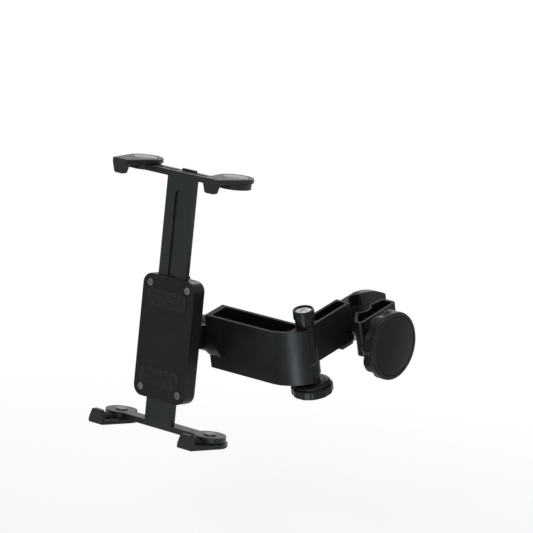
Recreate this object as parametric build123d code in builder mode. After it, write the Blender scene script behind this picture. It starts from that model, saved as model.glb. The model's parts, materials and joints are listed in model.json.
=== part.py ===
"""Tablet holder: rod clamp and arm, swing bracket, tilt head and four-claw cradle."""

import os
from math import cos, radians, sin, sqrt

from build123d import *

os.makedirs("parts", exist_ok=True)

# All sizes are in millimetres and degrees.
# The origin is on the axis of the clamp's groove, level with the front jaw's middle.
# +X is to the user's right, +Y points away from the user, +Z is up along the cradle.

# Round rod that the clamp fits and flat slab that the cradle fits
ROD_DIAMETER = 12.0
ROD_RAKE = 18.4
SLAB_HEIGHT = 186.0
SLAB_THICKNESS = 8.8

# Clearances
RUNNING_FIT = 0.05
FACE_GAP = 0.1
MOVING_GAP = 0.35
LOOSE_GAP = 0.6
SLAB_PLAY = 0.6

# Arm between the clamp and the hinge bolt
ARM_LENGTH = 61.0
ARM_HEIGHT = 30.0
ARM_RISE = 12.0
ARM_WALL = 2.4
ARM_FLOOR = 2.6
ARM_RIB_HEIGHT = 9.0
ARM_RIB_COUNT = 2
ARM_CREASE_DEPTH = 0.8
ARM_CREASE_LENGTH = 12.0
KNUCKLE_RADIUS = 7.3
KNUCKLE_SHOULDER = 0.7

# Rod clamp: fixed jaw on the arm, sliding front jaw
JAW_GAP = 7.0
JAW_PAD_THICKNESS = 1.5
JAW_PAD_INSET = 1.5
JAW_BOTTOM = -13.0
JAW_TOP = 14.5
REAR_JAW_BACK = 6.5
REAR_JAW_REACH = 36.0
REAR_JAW_TOP = 22.0
REAR_JAW_SHOULDER = 7.5
REAR_JAW_TIP = 10.0
REAR_JAW_ROUND = 6.0
REAR_JAW_CREST = 2.0
GUSSET_LENGTH = 10.0
NOSE_WALL = 2.2
FRONT_JAW_LENGTH = 42.0
FRONT_JAW_DEPTH = 15.5
FRONT_JAW_END = 6.5
FRONT_JAW_HEEL = 2.5
FRONT_JAW_WALL = 2.2
FRONT_JAW_ROUND = 3.0
TROUGH_DEPTH = 19.0
TONGUE_WIDTH = 5.0
TONGUE_HEIGHT = 11.0
TONGUE_REACH = 14.5

# Clamp stud, its washer and the big clamp knob
STUD_RADIUS = 3.0
STUD_DROP = 2.6
STUD_TIP = 33.5
HEX_RADIUS = 5.8
HEX_HEIGHT = 4.0
STUD_BOSS_RADIUS = 8.0
STUD_BOSS_HEIGHT = 3.0
WASHER_THICKNESS = 1.2
CLAMP_NECK_RADIUS = 9.0
CLAMP_NECK_LENGTH = 6.4
CLAMP_KNOB_RADIUS = 25.5
CLAMP_KNOB_DEPTH = 12.0
CLAMP_KNOB_EDGE = 1.4
CLAMP_RIM_LENGTH = 3.2
SCALLOP_COUNT = 8
SCALLOP_RADIUS = 14.0
SCALLOP_DEPTH = 2.2
COVER_RADIUS = 22.2
COVER_RECESS = 2.0
COVER_DOME = 1.5
INSERT_RADIUS = 5.0
INSERT_LENGTH = 11.0

# Hinge bolt through arm and bracket
BOLT_RADIUS = 3.0
COLLAR_RADIUS = 7.0
COLLAR_HEIGHT = 5.4
CAP_RADIUS = 7.9
CAP_HEIGHT = 6.7
CAP_EDGE = 1.2
BOLT_HEAD_RADIUS = 6.4
BOLT_HEAD_HEIGHT = 1.6
BOLT_HEAD_DROP = 0.4
BOLT_HEAD_EDGE = 0.5
HINGE_WASHER_THICKNESS = 0.8
LOWER_KNUCKLE_RADIUS = 7.8
LOWER_KNUCKLE_HEIGHT = 8.2
HINGE_NECK_RADIUS = 6.9
HINGE_NECK_LENGTH = 7.0
HINGE_FLANGE_RADIUS = 14.2
HINGE_FLANGE_THICKNESS = 1.2
HINGE_FLARE = 1.8
HINGE_GROOVE = 0.8
HINGE_KNOB_RADIUS = 15.6
HINGE_KNOB_HEIGHT = 6.4
FLUTE_COUNT = 12
FLUTE_RADIUS = 4.5
FLUTE_DEPTH = 0.9

# Swing bracket between the hinge bolt and the tilt joint
BRACKET_HEIGHT = 43.0
BRACKET_TOP_DROP = 0.7
BRACKET_WALL = 2.2
BRACKET_DEPTH = 20.0
BRACKET_BACK = 1.0
BRACKET_BEND = 20.0
BRACKET_WINDOW_ANGLE = 40.0
BRACKET_CHANNEL_END = 3.3
BRACKET_CHANNEL_ROUND = 5.0
BRACKET_RIB_COUNT = 2
BRACKET_RIB_HEIGHT = 14.0
CRADLE_OFFSET = 88.3

# Tilt joint behind the cradle
TILT_BARREL_RADIUS = 13.0
TILT_BARREL_LENGTH = 16.0
TILT_CHEEK_RADIUS = 15.0
TILT_CHEEK_THICKNESS = 5.0
TILT_CHEEK_OVERLAP = 8.0
TILT_WASHER_RADIUS = 11.0
TILT_NECK_RADIUS = 6.5
TILT_KNOB_RADIUS = 13.5
TILT_KNOB_HEIGHT = 9.0
TILT_TO_FRONT = 59.9
NECK_HEIGHT = 18.0

# Spin joint between the tilt head and the cradle
SPIN_DROP = 28.0
SPIN_FLANGE_RADIUS = 17.0
SPIN_FLANGE_THICKNESS = 4.0
SPIN_SCREW_RADIUS = 3.0
SPIN_HEAD_RADIUS = 6.0
SPIN_HEAD_HEIGHT = 2.4
SPIN_SCREW_GRIP = 12.0
SPIN_WASHER_THICKNESS = 0.8

# Cradle housing and its front cover
HOUSING_WIDTH = 50.0
HOUSING_HEIGHT = 92.0
HOUSING_ROUND = 8.0
HOUSING_EDGE = 2.4
HOUSING_WALL = 2.2
HOUSING_BACK_WALL = 2.8
COVER_PLATE = 2.2
PAD_THICKNESS = 1.0
PAD_WIDTH = 38.0
PAD_HEIGHT = 13.0
PAD_INSET = 17.0
RAIL_THICKNESS = 2.0
RAIL_LIP = 3.0
SCREW_RADIUS = 1.5
SCREW_HEAD_RADIUS = 2.8
SCREW_HEAD_HEIGHT = 1.3
SCREW_LENGTH = 7.0
SCREW_BOSS_RADIUS = 3.4

# Sliding stem, cross bars and the screw that locks the stem
STEM_WIDTH = 26.0
STEM_THICKNESS = 4.5
STEM_INSERTION = 38.0
STEM_GROOVE_WIDTH = 8.0
STEM_GROOVE_DEPTH = 1.2
LOWER_STEM_INSERTION = 6.5
LOWER_STEM_LIP = 1.2
BAR_THICKNESS = 4.3
BAR_END_RADIUS = 12.0
BAR_DEPTH = 11.5
BAR_GROOVE_LENGTH = 22.0
BAR_GROOVE_WIDTH = 3.0
BAR_GROOVE_DEPTH = 0.9
THUMB_RIDGE_LENGTH = 14.0
THUMB_RIDGE_WIDTH = 2.6
THUMB_RIDGE_HEIGHT = 1.6
GUSSET_HEIGHT = 14.0
GUSSET_THICKNESS = 3.0
LOCK_DROP = 9.5
LOCK_SHAFT_RADIUS = 2.5
LOCK_INSERT_RADIUS = 4.5
LOCK_KNOB_RADIUS = 9.0
LOCK_KNOB_HEIGHT = 8.0
LOCK_LOBE_COUNT = 6
LOCK_LOBE_RADIUS = 3.5

# Claws, alike at the top and the bottom of the cradle
PIVOT_SPACING = 88.0
PIVOT_DEPTH = 22.0
CLAW_THICKNESS = 3.5
CLAW_ROUND = 13.5
CLAW_REACH = 28.0
CLAW_TIP_WIDTH = 14.0
CLAW_TIP_DEPTH = 3.0
CLAW_EDGE = 0.8
HOOK_THICKNESS = 4.2
HOOK_DROP = 7.5
HOOK_TIP_WIDTH = 9.0
HOOK_TIP_ROUND = 2.0
CLAW_PAD_THICKNESS = 3.0
HOOK_PAD_THICKNESS = 1.2
CLAW_PAD_WIDTH = 8.0
DISC_RADIUS = 9.0
DISC_THICKNESS = 1.2
DISC_DOME = 0.3
PIN_RADIUS = 3.0
PIN_HEAD_RADIUS = 5.5
PIN_HEAD_THICKNESS = 1.0
PIN_FOOT_RADIUS = 4.5

# Sizes that follow from the ones above
rake = radians(ROD_RAKE)
ROD = Plane(origin=(0, 0, 0), x_dir=(1, 0, 0), z_dir=(0, -sin(rake), cos(rake)))
rod_radius = ROD_DIAMETER / 2
groove_radius = rod_radius + JAW_PAD_THICKNESS
jaw_face = JAW_GAP / 2
groove_half = sqrt(groove_radius**2 - jaw_face**2)
nose_half = groove_half + NOSE_WALL
stud_bore = STUD_RADIUS + MOVING_GAP
stud_along = -(nose_half + MOVING_GAP + stud_bore)
stud_level = -STUD_DROP
arm_bottom = ARM_RISE - ARM_HEIGHT / 2
arm_top = ARM_RISE + ARM_HEIGHT / 2
arm_half = KNUCKLE_RADIUS - KNUCKLE_SHOULDER
arm_end = stud_along - stud_bore - LOOSE_GAP
rear_jaw_back = -jaw_face - REAR_JAW_BACK
front_jaw_outer = jaw_face + FRONT_JAW_DEPTH
front_jaw_end = front_jaw_outer - FRONT_JAW_END
stud_boss_face = front_jaw_outer + STUD_BOSS_HEIGHT
clamp_washer_face = stud_boss_face + WASHER_THICKNESS
clamp_knob_back = clamp_washer_face + FACE_GAP + CLAMP_NECK_LENGTH
clamp_knob_front = clamp_knob_back + CLAMP_KNOB_DEPTH

bracket_top = arm_top - BRACKET_TOP_DROP
bracket_bottom = bracket_top - BRACKET_HEIGHT
lower_knuckle_top = arm_bottom - HINGE_WASHER_THICKNESS - 2 * FACE_GAP
lower_knuckle_bottom = lower_knuckle_top - LOWER_KNUCKLE_HEIGHT
bracket_bore = KNUCKLE_RADIUS + MOVING_GAP
bracket_front = -(BRACKET_BACK + BRACKET_DEPTH)
tilt_along = -ARM_LENGTH - BRACKET_BACK - BRACKET_DEPTH / 2
tilt_level = (bracket_top + bracket_bottom) / 2
barrel_right = -CRADLE_OFFSET + TILT_BARREL_LENGTH / 2
barrel_left = -CRADLE_OFFSET - TILT_BARREL_LENGTH / 2
cheek_left = barrel_right + WASHER_THICKNESS + 2 * FACE_GAP
cheek_right = cheek_left + TILT_CHEEK_THICKNESS
tilt_knob_face = barrel_left - WASHER_THICKNESS - 2 * FACE_GAP

TILT = ROD.from_local_coords((-CRADLE_OFFSET, tilt_along, tilt_level))
CRADLE = TILT + Vector(0, -TILT_TO_FRONT, SPIN_DROP)
slab_back = SLAB_THICKNESS + SLAB_PLAY
cover_front = slab_back + PAD_THICKNESS
housing_front = cover_front + COVER_PLATE
stem_front = housing_front + LOOSE_GAP
stem_back = stem_front + STEM_THICKNESS
spin_head_front = stem_back + LOOSE_GAP
housing_floor = spin_head_front + SPIN_HEAD_HEIGHT + LOOSE_GAP
housing_back = housing_floor + HOUSING_BACK_WALL
flange_face = housing_back + SPIN_WASHER_THICKNESS + 2 * FACE_GAP
housing_top = HOUSING_HEIGHT / 2 - SPIN_DROP
housing_bottom = -HOUSING_HEIGHT / 2 - SPIN_DROP
claw_level = SLAB_HEIGHT / 2 + CLAW_PAD_THICKNESS
bar_level = claw_level - MOVING_GAP
pad_end = -(BAR_END_RADIUS + LOOSE_GAP)
pad_height = HOUSING_HEIGHT / 2 - PAD_INSET


def along_rod(height):
    """Plan plane at a height along the clamp's groove: x across the arm, y along it."""
    return ROD.offset(height)


def along_bolt(height):
    """The same plan plane with its origin on the hinge bolt's axis."""
    return Plane(ROD.from_local_coords((0, -ARM_LENGTH, height)), ROD.x_dir, ROD.z_dir)


def across_arm(x):
    """Side plane of the clamp: x along the arm, y up the groove, normal to the right."""
    return Plane((x, 0, 0), ROD.y_dir, (1, 0, 0))


def across_stud(x):
    """Plane square to the clamp stud, with its origin on the stud's axis."""
    return Plane(ROD.from_local_coords((x, stud_along, stud_level)), ROD.y_dir, (1, 0, 0))


def beside_stud(x):
    """Plane through the stud's axis for turned profiles: x is the radius, y runs along the stud."""
    return Plane(ROD.from_local_coords((x, stud_along, stud_level)), ROD.y_dir, -ROD.z_dir)


def beside_bolt(height):
    """Plane through the bolt's axis for turned profiles: x is the radius, y runs up the bolt."""
    return Plane(ROD.from_local_coords((0, -ARM_LENGTH, height)), ROD.x_dir, -ROD.y_dir)


def across_tilt(x):
    """Plane square to the tilt axis, in line with the upright cradle: x to the back, y up."""
    return Plane((x, TILT.Y, TILT.Z), (0, 1, 0), (1, 0, 0))


def beside_tilt(x):
    """Plane through the tilt axis for turned profiles: x is the radius, y runs to the left."""
    return Plane((x, TILT.Y, TILT.Z), (0, 0, 1), (0, -1, 0))


def cradle_plan(height):
    """Level plane of the cradle: x to the right, y to the back."""
    return Plane(CRADLE + Vector(0, 0, height))


def cradle_face(depth):
    """Upright plane of the cradle, set back by depth: x to the right, y up, normal to the front."""
    return Plane(CRADLE + Vector(0, depth, 0), (1, 0, 0), (0, -1, 0))


def cradle_side(x):
    """Side plane of the cradle: x to the back, y up, normal to the right."""
    return Plane(CRADLE + Vector(x, 0, 0), (0, 1, 0), (1, 0, 0))


def save(builder, name):
    """Label a finished piece and write it as its own file."""
    builder.part.label = name
    export_step(builder.part, f"parts/{name}.step")


def top_face(builder, direction):
    """The face of a piece that lies furthest along a direction."""
    return builder.faces().sort_by(Axis((0, 0, 0), direction))[-1]


# Fixed jaw: side outline cut to a plan that tapers into the arm
gusset_start = arm_end - GUSSET_LENGTH
with BuildPart() as rear_jaw:
    with BuildSketch(across_arm(rear_jaw_back)):
        with BuildLine():
            Polyline((gusset_start, REAR_JAW_TOP), (gusset_start, arm_bottom),
                     (arm_end - GUSSET_LENGTH / 2, arm_bottom), (arm_end - GUSSET_LENGTH / 4, JAW_BOTTOM),
                     (REAR_JAW_REACH - REAR_JAW_ROUND, JAW_BOTTOM))
            RadiusArc((REAR_JAW_REACH - REAR_JAW_ROUND, JAW_BOTTOM),
                      (REAR_JAW_REACH, JAW_BOTTOM + REAR_JAW_ROUND), -REAR_JAW_ROUND)
            Line((REAR_JAW_REACH, JAW_BOTTOM + REAR_JAW_ROUND), (REAR_JAW_REACH, REAR_JAW_TIP))
            SagittaArc((REAR_JAW_REACH, REAR_JAW_TIP), (REAR_JAW_SHOULDER, REAR_JAW_TOP), -REAR_JAW_CREST)
            Line((REAR_JAW_SHOULDER, REAR_JAW_TOP), (gusset_start, REAR_JAW_TOP))
        make_face()
    extrude(amount=REAR_JAW_BACK)
    with BuildSketch(along_rod(JAW_BOTTOM)):
        Polygon((-arm_half, gusset_start), (-jaw_face, gusset_start), (-jaw_face, REAR_JAW_REACH),
                (rear_jaw_back + REAR_JAW_ROUND / 2, REAR_JAW_REACH),
                (rear_jaw_back, REAR_JAW_REACH - REAR_JAW_ROUND),
                (rear_jaw_back, arm_end), align=None)
    extrude(amount=arm_top - JAW_BOTTOM, mode=Mode.INTERSECT)

# Arm: open-top channel from the hinge knuckle to the clamp, moulded with the fixed jaw
pocket_start = -ARM_LENGTH + KNUCKLE_RADIUS + LOOSE_GAP
pocket_end = arm_end - ARM_WALL
pocket_length = pocket_end - pocket_start
with BuildPart() as clamp_arm:
    with BuildSketch(along_rod(arm_bottom)):
        with Locations((0, -ARM_LENGTH)):
            Circle(KNUCKLE_RADIUS)
        with Locations((0, (arm_end - ARM_LENGTH) / 2)):
            Rectangle(2 * arm_half, arm_end + ARM_LENGTH)
    extrude(amount=ARM_HEIGHT)
    add(rear_jaw.part)
    with BuildSketch(along_rod(arm_bottom + ARM_FLOOR)):
        with Locations((0, (pocket_start + pocket_end) / 2)):
            RectangleRounded(2 * (arm_half - ARM_WALL), pocket_length, ARM_WALL)
    extrude(amount=ARM_HEIGHT, mode=Mode.SUBTRACT)
    with BuildSketch(along_rod(arm_bottom + ARM_FLOOR / 2)):
        with Locations((0, (pocket_start + pocket_end) / 2)):
            with GridLocations(1, pocket_length / (ARM_RIB_COUNT + 1), 1, ARM_RIB_COUNT):
                Rectangle(2 * arm_half - ARM_WALL, ARM_WALL / 2)
    extrude(amount=ARM_RIB_HEIGHT)
    with BuildSketch(across_arm(arm_half - ARM_CREASE_DEPTH)):
        Polygon((arm_end, stud_level + stud_bore), (arm_end, ARM_RISE - ARM_HEIGHT / 4),
                (arm_end - ARM_CREASE_LENGTH, ARM_RISE - ARM_HEIGHT / 8), align=None)
    extrude(amount=ARM_CREASE_DEPTH + FACE_GAP, mode=Mode.SUBTRACT)
    with BuildSketch(along_rod(JAW_BOTTOM)):
        Circle(groove_radius)
        with Locations((0, -ARM_LENGTH)):
            Circle(BOLT_RADIUS)
    extrude(amount=arm_top - JAW_BOTTOM, mode=Mode.SUBTRACT)
    with BuildSketch(across_stud(rear_jaw_back)):
        Circle(STUD_RADIUS)
    extrude(amount=REAR_JAW_BACK, mode=Mode.SUBTRACT)
    with BuildSketch(across_stud(rear_jaw_back)):
        RegularPolygon(HEX_RADIUS, 6)
    extrude(amount=HEX_HEIGHT, mode=Mode.SUBTRACT)
    tongue_along = nose_half + LOOSE_GAP + TONGUE_WIDTH / 2
    with BuildSketch(across_arm(rear_jaw_back)):
        with Locations((tongue_along, stud_level)):
            Rectangle(TONGUE_WIDTH + 2 * MOVING_GAP, TONGUE_HEIGHT + 2 * MOVING_GAP)
    extrude(amount=REAR_JAW_BACK, mode=Mode.SUBTRACT)
save(clamp_arm, "clamp_arm")

with BuildPart() as clamp_stud:
    with BuildSketch(across_stud(rear_jaw_back)):
        RegularPolygon(HEX_RADIUS, 6)
    extrude(amount=HEX_HEIGHT)
    with BuildSketch(across_stud(rear_jaw_back)):
        Circle(STUD_RADIUS)
    extrude(amount=STUD_TIP - rear_jaw_back)
    chamfer(top_face(clamp_stud, (1, 0, 0)).edges(), STUD_RADIUS / 4)
save(clamp_stud, "clamp_stud")


def jaw_pad(name, side):
    """Rubber strip in one jaw's half-round groove; side is -1 for the fixed jaw, +1 for the front jaw."""
    with BuildPart() as pad:
        with BuildSketch(along_rod(JAW_BOTTOM + JAW_PAD_INSET)):
            Circle(groove_radius)
            Circle(rod_radius, mode=Mode.SUBTRACT)
            with Locations((side * (jaw_face + groove_radius), 0)):
                Rectangle(2 * groove_radius, 2 * groove_radius, mode=Mode.INTERSECT)
        extrude(amount=JAW_TOP - JAW_BOTTOM - 2 * JAW_PAD_INSET)
    save(pad, name)


jaw_pad("fixed_jaw_pad", -1)
jaw_pad("front_jaw_pad", 1)

def jaw_plan(mode=Mode.ADD):
    """Outline of the front jaw seen along the groove: slanted towards the arm, deep beside the groove."""
    half_length = FRONT_JAW_LENGTH / 2
    Polygon((front_jaw_outer, -half_length), (front_jaw_outer, half_length),
            (jaw_face + FRONT_JAW_HEEL, half_length), (jaw_face, nose_half), (jaw_face, -nose_half),
            (front_jaw_end, -half_length), align=None, mode=mode)


# Front jaw: open-top shell with a wall behind its groove, a boss for the stud and a guide tongue
jaw_height = JAW_TOP - JAW_BOTTOM
with BuildPart() as front_jaw:
    with BuildSketch(along_rod(JAW_BOTTOM)):
        jaw_plan()
    extrude(amount=jaw_height)
    outer_edges = front_jaw.edges().filter_by(Axis((0, 0, 0), ROD.z_dir)).sort_by(Axis.X)[-3:]
    fillet(outer_edges, FRONT_JAW_ROUND)
    with BuildSketch(along_rod(JAW_TOP)):
        jaw_plan()
        offset(amount=-FRONT_JAW_WALL, kind=Kind.INTERSECTION, mode=Mode.REPLACE)
    extrude(amount=-TROUGH_DEPTH, mode=Mode.SUBTRACT)
    with BuildSketch(along_rod(JAW_BOTTOM)):
        Circle(groove_radius + NOSE_WALL)
        jaw_plan(Mode.INTERSECT)
    extrude(amount=jaw_height)
    with BuildSketch(across_stud(front_jaw_end)):
        Circle(STUD_BOSS_RADIUS)
    extrude(amount=stud_boss_face - front_jaw_end)
    with BuildSketch(across_arm(jaw_face - TONGUE_REACH)):
        with Locations((tongue_along, stud_level)):
            Rectangle(TONGUE_WIDTH, TONGUE_HEIGHT)
    extrude(amount=TONGUE_REACH + FRONT_JAW_HEEL)
    with BuildSketch(along_rod(JAW_BOTTOM)):
        Circle(groove_radius)
    extrude(amount=jaw_height, mode=Mode.SUBTRACT)
    with BuildSketch(across_stud(jaw_face)):
        Circle(stud_bore)
    extrude(amount=stud_boss_face - jaw_face, mode=Mode.SUBTRACT)
save(front_jaw, "front_jaw")

with BuildPart() as clamp_washer:
    with BuildSketch(across_stud(stud_boss_face)):
        Circle(STUD_BOSS_RADIUS)
        Circle(stud_bore, mode=Mode.SUBTRACT)
    extrude(amount=WASHER_THICKNESS)
save(clamp_washer, "clamp_washer")

# Clamp knob: neck, scalloped wheel with a plain front rim, and a recess for its cover
insert_start = clamp_washer_face + FACE_GAP
with BuildPart() as clamp_knob:
    with BuildSketch(across_stud(insert_start)):
        Circle(CLAMP_NECK_RADIUS)
    extrude(amount=CLAMP_NECK_LENGTH)
    with BuildSketch(across_stud(clamp_knob_back)):
        Circle(CLAMP_KNOB_RADIUS)
    extrude(amount=CLAMP_KNOB_DEPTH)
    chamfer(top_face(clamp_knob, (1, 0, 0)).edges(), CLAMP_KNOB_EDGE)
    with BuildSketch(across_stud(clamp_knob_back)):
        with PolarLocations(CLAMP_KNOB_RADIUS + SCALLOP_RADIUS - SCALLOP_DEPTH, SCALLOP_COUNT):
            Circle(SCALLOP_RADIUS)
    extrude(amount=CLAMP_KNOB_DEPTH - CLAMP_RIM_LENGTH, mode=Mode.SUBTRACT)
    with BuildSketch(across_stud(clamp_knob_front)):
        Circle(COVER_RADIUS + MOVING_GAP)
    extrude(amount=-COVER_RECESS, mode=Mode.SUBTRACT)
    with BuildSketch(across_stud(insert_start)):
        Circle(INSERT_RADIUS)
    extrude(amount=INSERT_LENGTH, mode=Mode.SUBTRACT)
    with BuildSketch(across_stud(insert_start)):
        Circle(stud_bore)
    extrude(amount=clamp_knob_front - COVER_RECESS - insert_start, mode=Mode.SUBTRACT)
save(clamp_knob, "clamp_knob")

with BuildPart() as clamp_knob_cover:
    with BuildSketch(beside_stud(clamp_knob_front - COVER_RECESS)):
        with BuildLine():
            Polyline((0, COVER_RECESS + COVER_DOME), (0, 0), (COVER_RADIUS, 0),
                     (COVER_RADIUS, COVER_RECESS))
            TangentArc((0, COVER_RECESS + COVER_DOME), (COVER_RADIUS, COVER_RECESS), tangent=(1, 0))
        make_face()
    revolve(axis=Axis(ROD.from_local_coords((0, stud_along, stud_level)), (1, 0, 0)))
save(clamp_knob_cover, "clamp_knob_cover")

with BuildPart() as clamp_knob_insert:
    with BuildSketch(across_stud(insert_start)):
        Circle(INSERT_RADIUS)
        Circle(STUD_RADIUS + RUNNING_FIT, mode=Mode.SUBTRACT)
    extrude(amount=INSERT_LENGTH)
save(clamp_knob_insert, "clamp_knob_insert")

# Hinge: bolt with a collar and a cap on the arm, washer and hand knob below
bolt_axis = Axis(ROD.from_local_coords((0, -ARM_LENGTH, 0)), ROD.z_dir)
cap_seat = arm_top + COLLAR_HEIGHT
hinge_knob_top = lower_knuckle_bottom - FACE_GAP
knob_flange_top = hinge_knob_top - HINGE_NECK_LENGTH
knob_base_top = knob_flange_top - HINGE_FLANGE_THICKNESS - HINGE_GROOVE
knob_bottom = knob_base_top - HINGE_KNOB_HEIGHT
bolt_tip = knob_base_top - FACE_GAP
bolt_head_top = cap_seat + CAP_HEIGHT - BOLT_HEAD_DROP
bolt_head_under = bolt_head_top - BOLT_HEAD_HEIGHT
with BuildPart() as hinge_bolt:
    with BuildSketch(along_bolt(bolt_tip)):
        Circle(BOLT_RADIUS)
    extrude(amount=cap_seat - bolt_tip)
    with BuildSketch(along_bolt(cap_seat)):
        RegularPolygon(HEX_RADIUS, 6)
    extrude(amount=bolt_head_under - cap_seat)
    with BuildSketch(along_bolt(bolt_head_under)):
        Circle(BOLT_HEAD_RADIUS)
    extrude(amount=BOLT_HEAD_HEIGHT)
    fillet(top_face(hinge_bolt, ROD.z_dir).edges(), BOLT_HEAD_EDGE)
save(hinge_bolt, "hinge_bolt")

with BuildPart() as hinge_collar:
    with BuildSketch(along_bolt(arm_top)):
        Circle(COLLAR_RADIUS)
        Circle(BOLT_RADIUS, mode=Mode.SUBTRACT)
    extrude(amount=COLLAR_HEIGHT)
    fillet(top_face(hinge_collar, ROD.z_dir).outer_wire().edges(), CAP_EDGE / 2)
save(hinge_collar, "hinge_collar")

with BuildPart() as hinge_cap:
    with BuildSketch(along_bolt(cap_seat)):
        Circle(CAP_RADIUS)
    extrude(amount=CAP_HEIGHT)
    fillet(top_face(hinge_cap, ROD.z_dir).edges(), CAP_EDGE)
    with BuildSketch(along_bolt(cap_seat)):
        RegularPolygon(HEX_RADIUS, 6)
    extrude(amount=bolt_head_under - cap_seat, mode=Mode.SUBTRACT)
    with BuildSketch(along_bolt(bolt_head_under)):
        Circle(BOLT_HEAD_RADIUS)
    extrude(amount=CAP_HEIGHT, mode=Mode.SUBTRACT)
save(hinge_cap, "hinge_cap")

with BuildPart() as hinge_washer:
    with BuildSketch(along_bolt(lower_knuckle_top + FACE_GAP)):
        Circle(KNUCKLE_RADIUS)
        Circle(BOLT_RADIUS + RUNNING_FIT, mode=Mode.SUBTRACT)
    extrude(amount=HINGE_WASHER_THICKNESS)
save(hinge_washer, "hinge_washer")

with BuildPart() as hinge_knob:
    with BuildSketch(beside_bolt(0)):
        with BuildLine():
            Polyline((0, hinge_knob_top), (HINGE_NECK_RADIUS, hinge_knob_top),
                     (HINGE_NECK_RADIUS, knob_flange_top + HINGE_FLARE))
            RadiusArc((HINGE_NECK_RADIUS, knob_flange_top + HINGE_FLARE),
                      (HINGE_FLANGE_RADIUS, knob_flange_top), -HINGE_FLANGE_RADIUS / 2)
            Polyline((HINGE_FLANGE_RADIUS, knob_flange_top),
                     (HINGE_FLANGE_RADIUS, knob_flange_top - HINGE_FLANGE_THICKNESS),
                     (HINGE_FLANGE_RADIUS - HINGE_GROOVE, knob_base_top + HINGE_GROOVE / 2),
                     (HINGE_FLANGE_RADIUS - HINGE_GROOVE, knob_base_top),
                     (HINGE_KNOB_RADIUS - CAP_EDGE, knob_base_top),
                     (HINGE_KNOB_RADIUS, knob_base_top - CAP_EDGE),
                     (HINGE_KNOB_RADIUS, knob_bottom + CAP_EDGE),
                     (HINGE_KNOB_RADIUS - CAP_EDGE, knob_bottom),
                     (0, knob_bottom), (0, hinge_knob_top))
        make_face()
    revolve(axis=bolt_axis)
    with BuildSketch(along_bolt(knob_bottom)):
        with PolarLocations(HINGE_KNOB_RADIUS + FLUTE_RADIUS - FLUTE_DEPTH, FLUTE_COUNT):
            Circle(FLUTE_RADIUS)
    extrude(amount=HINGE_KNOB_HEIGHT, mode=Mode.SUBTRACT)
    with BuildSketch(along_bolt(hinge_knob_top)):
        Circle(INSERT_RADIUS)
    extrude(amount=bolt_tip - FACE_GAP - hinge_knob_top, mode=Mode.SUBTRACT)
save(hinge_knob, "hinge_knob")

with BuildPart() as hinge_knob_insert:
    with BuildSketch(along_bolt(hinge_knob_top)):
        Circle(INSERT_RADIUS)
        Circle(BOLT_RADIUS + RUNNING_FIT, mode=Mode.SUBTRACT)
    extrude(amount=bolt_tip - hinge_knob_top)
save(hinge_knob_insert, "hinge_knob_insert")

# Swing bracket: open-top shell that bends from the cradle's back round to the hinge bolt
wrap_radius = bracket_bore + BRACKET_WALL
window = radians(BRACKET_WINDOW_ANGLE)
window_edge = (wrap_radius * cos(window), -wrap_radius * sin(window))
bend_start = (-BRACKET_BEND, bracket_front)
with BuildPart() as bracket_outline:
    with BuildSketch(along_bolt(bracket_bottom)):
        with BuildLine():
            Line((cheek_left, -BRACKET_BACK), (cheek_left, bracket_front))
            Line((cheek_left, bracket_front), bend_start)
            TangentArc(bend_start, window_edge, tangent=(1, 0))
            Polyline(window_edge, (0, 0), (-bracket_bore, -BRACKET_BACK), (cheek_left, -BRACKET_BACK))
        make_face()
    extrude(amount=BRACKET_HEIGHT)

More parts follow.
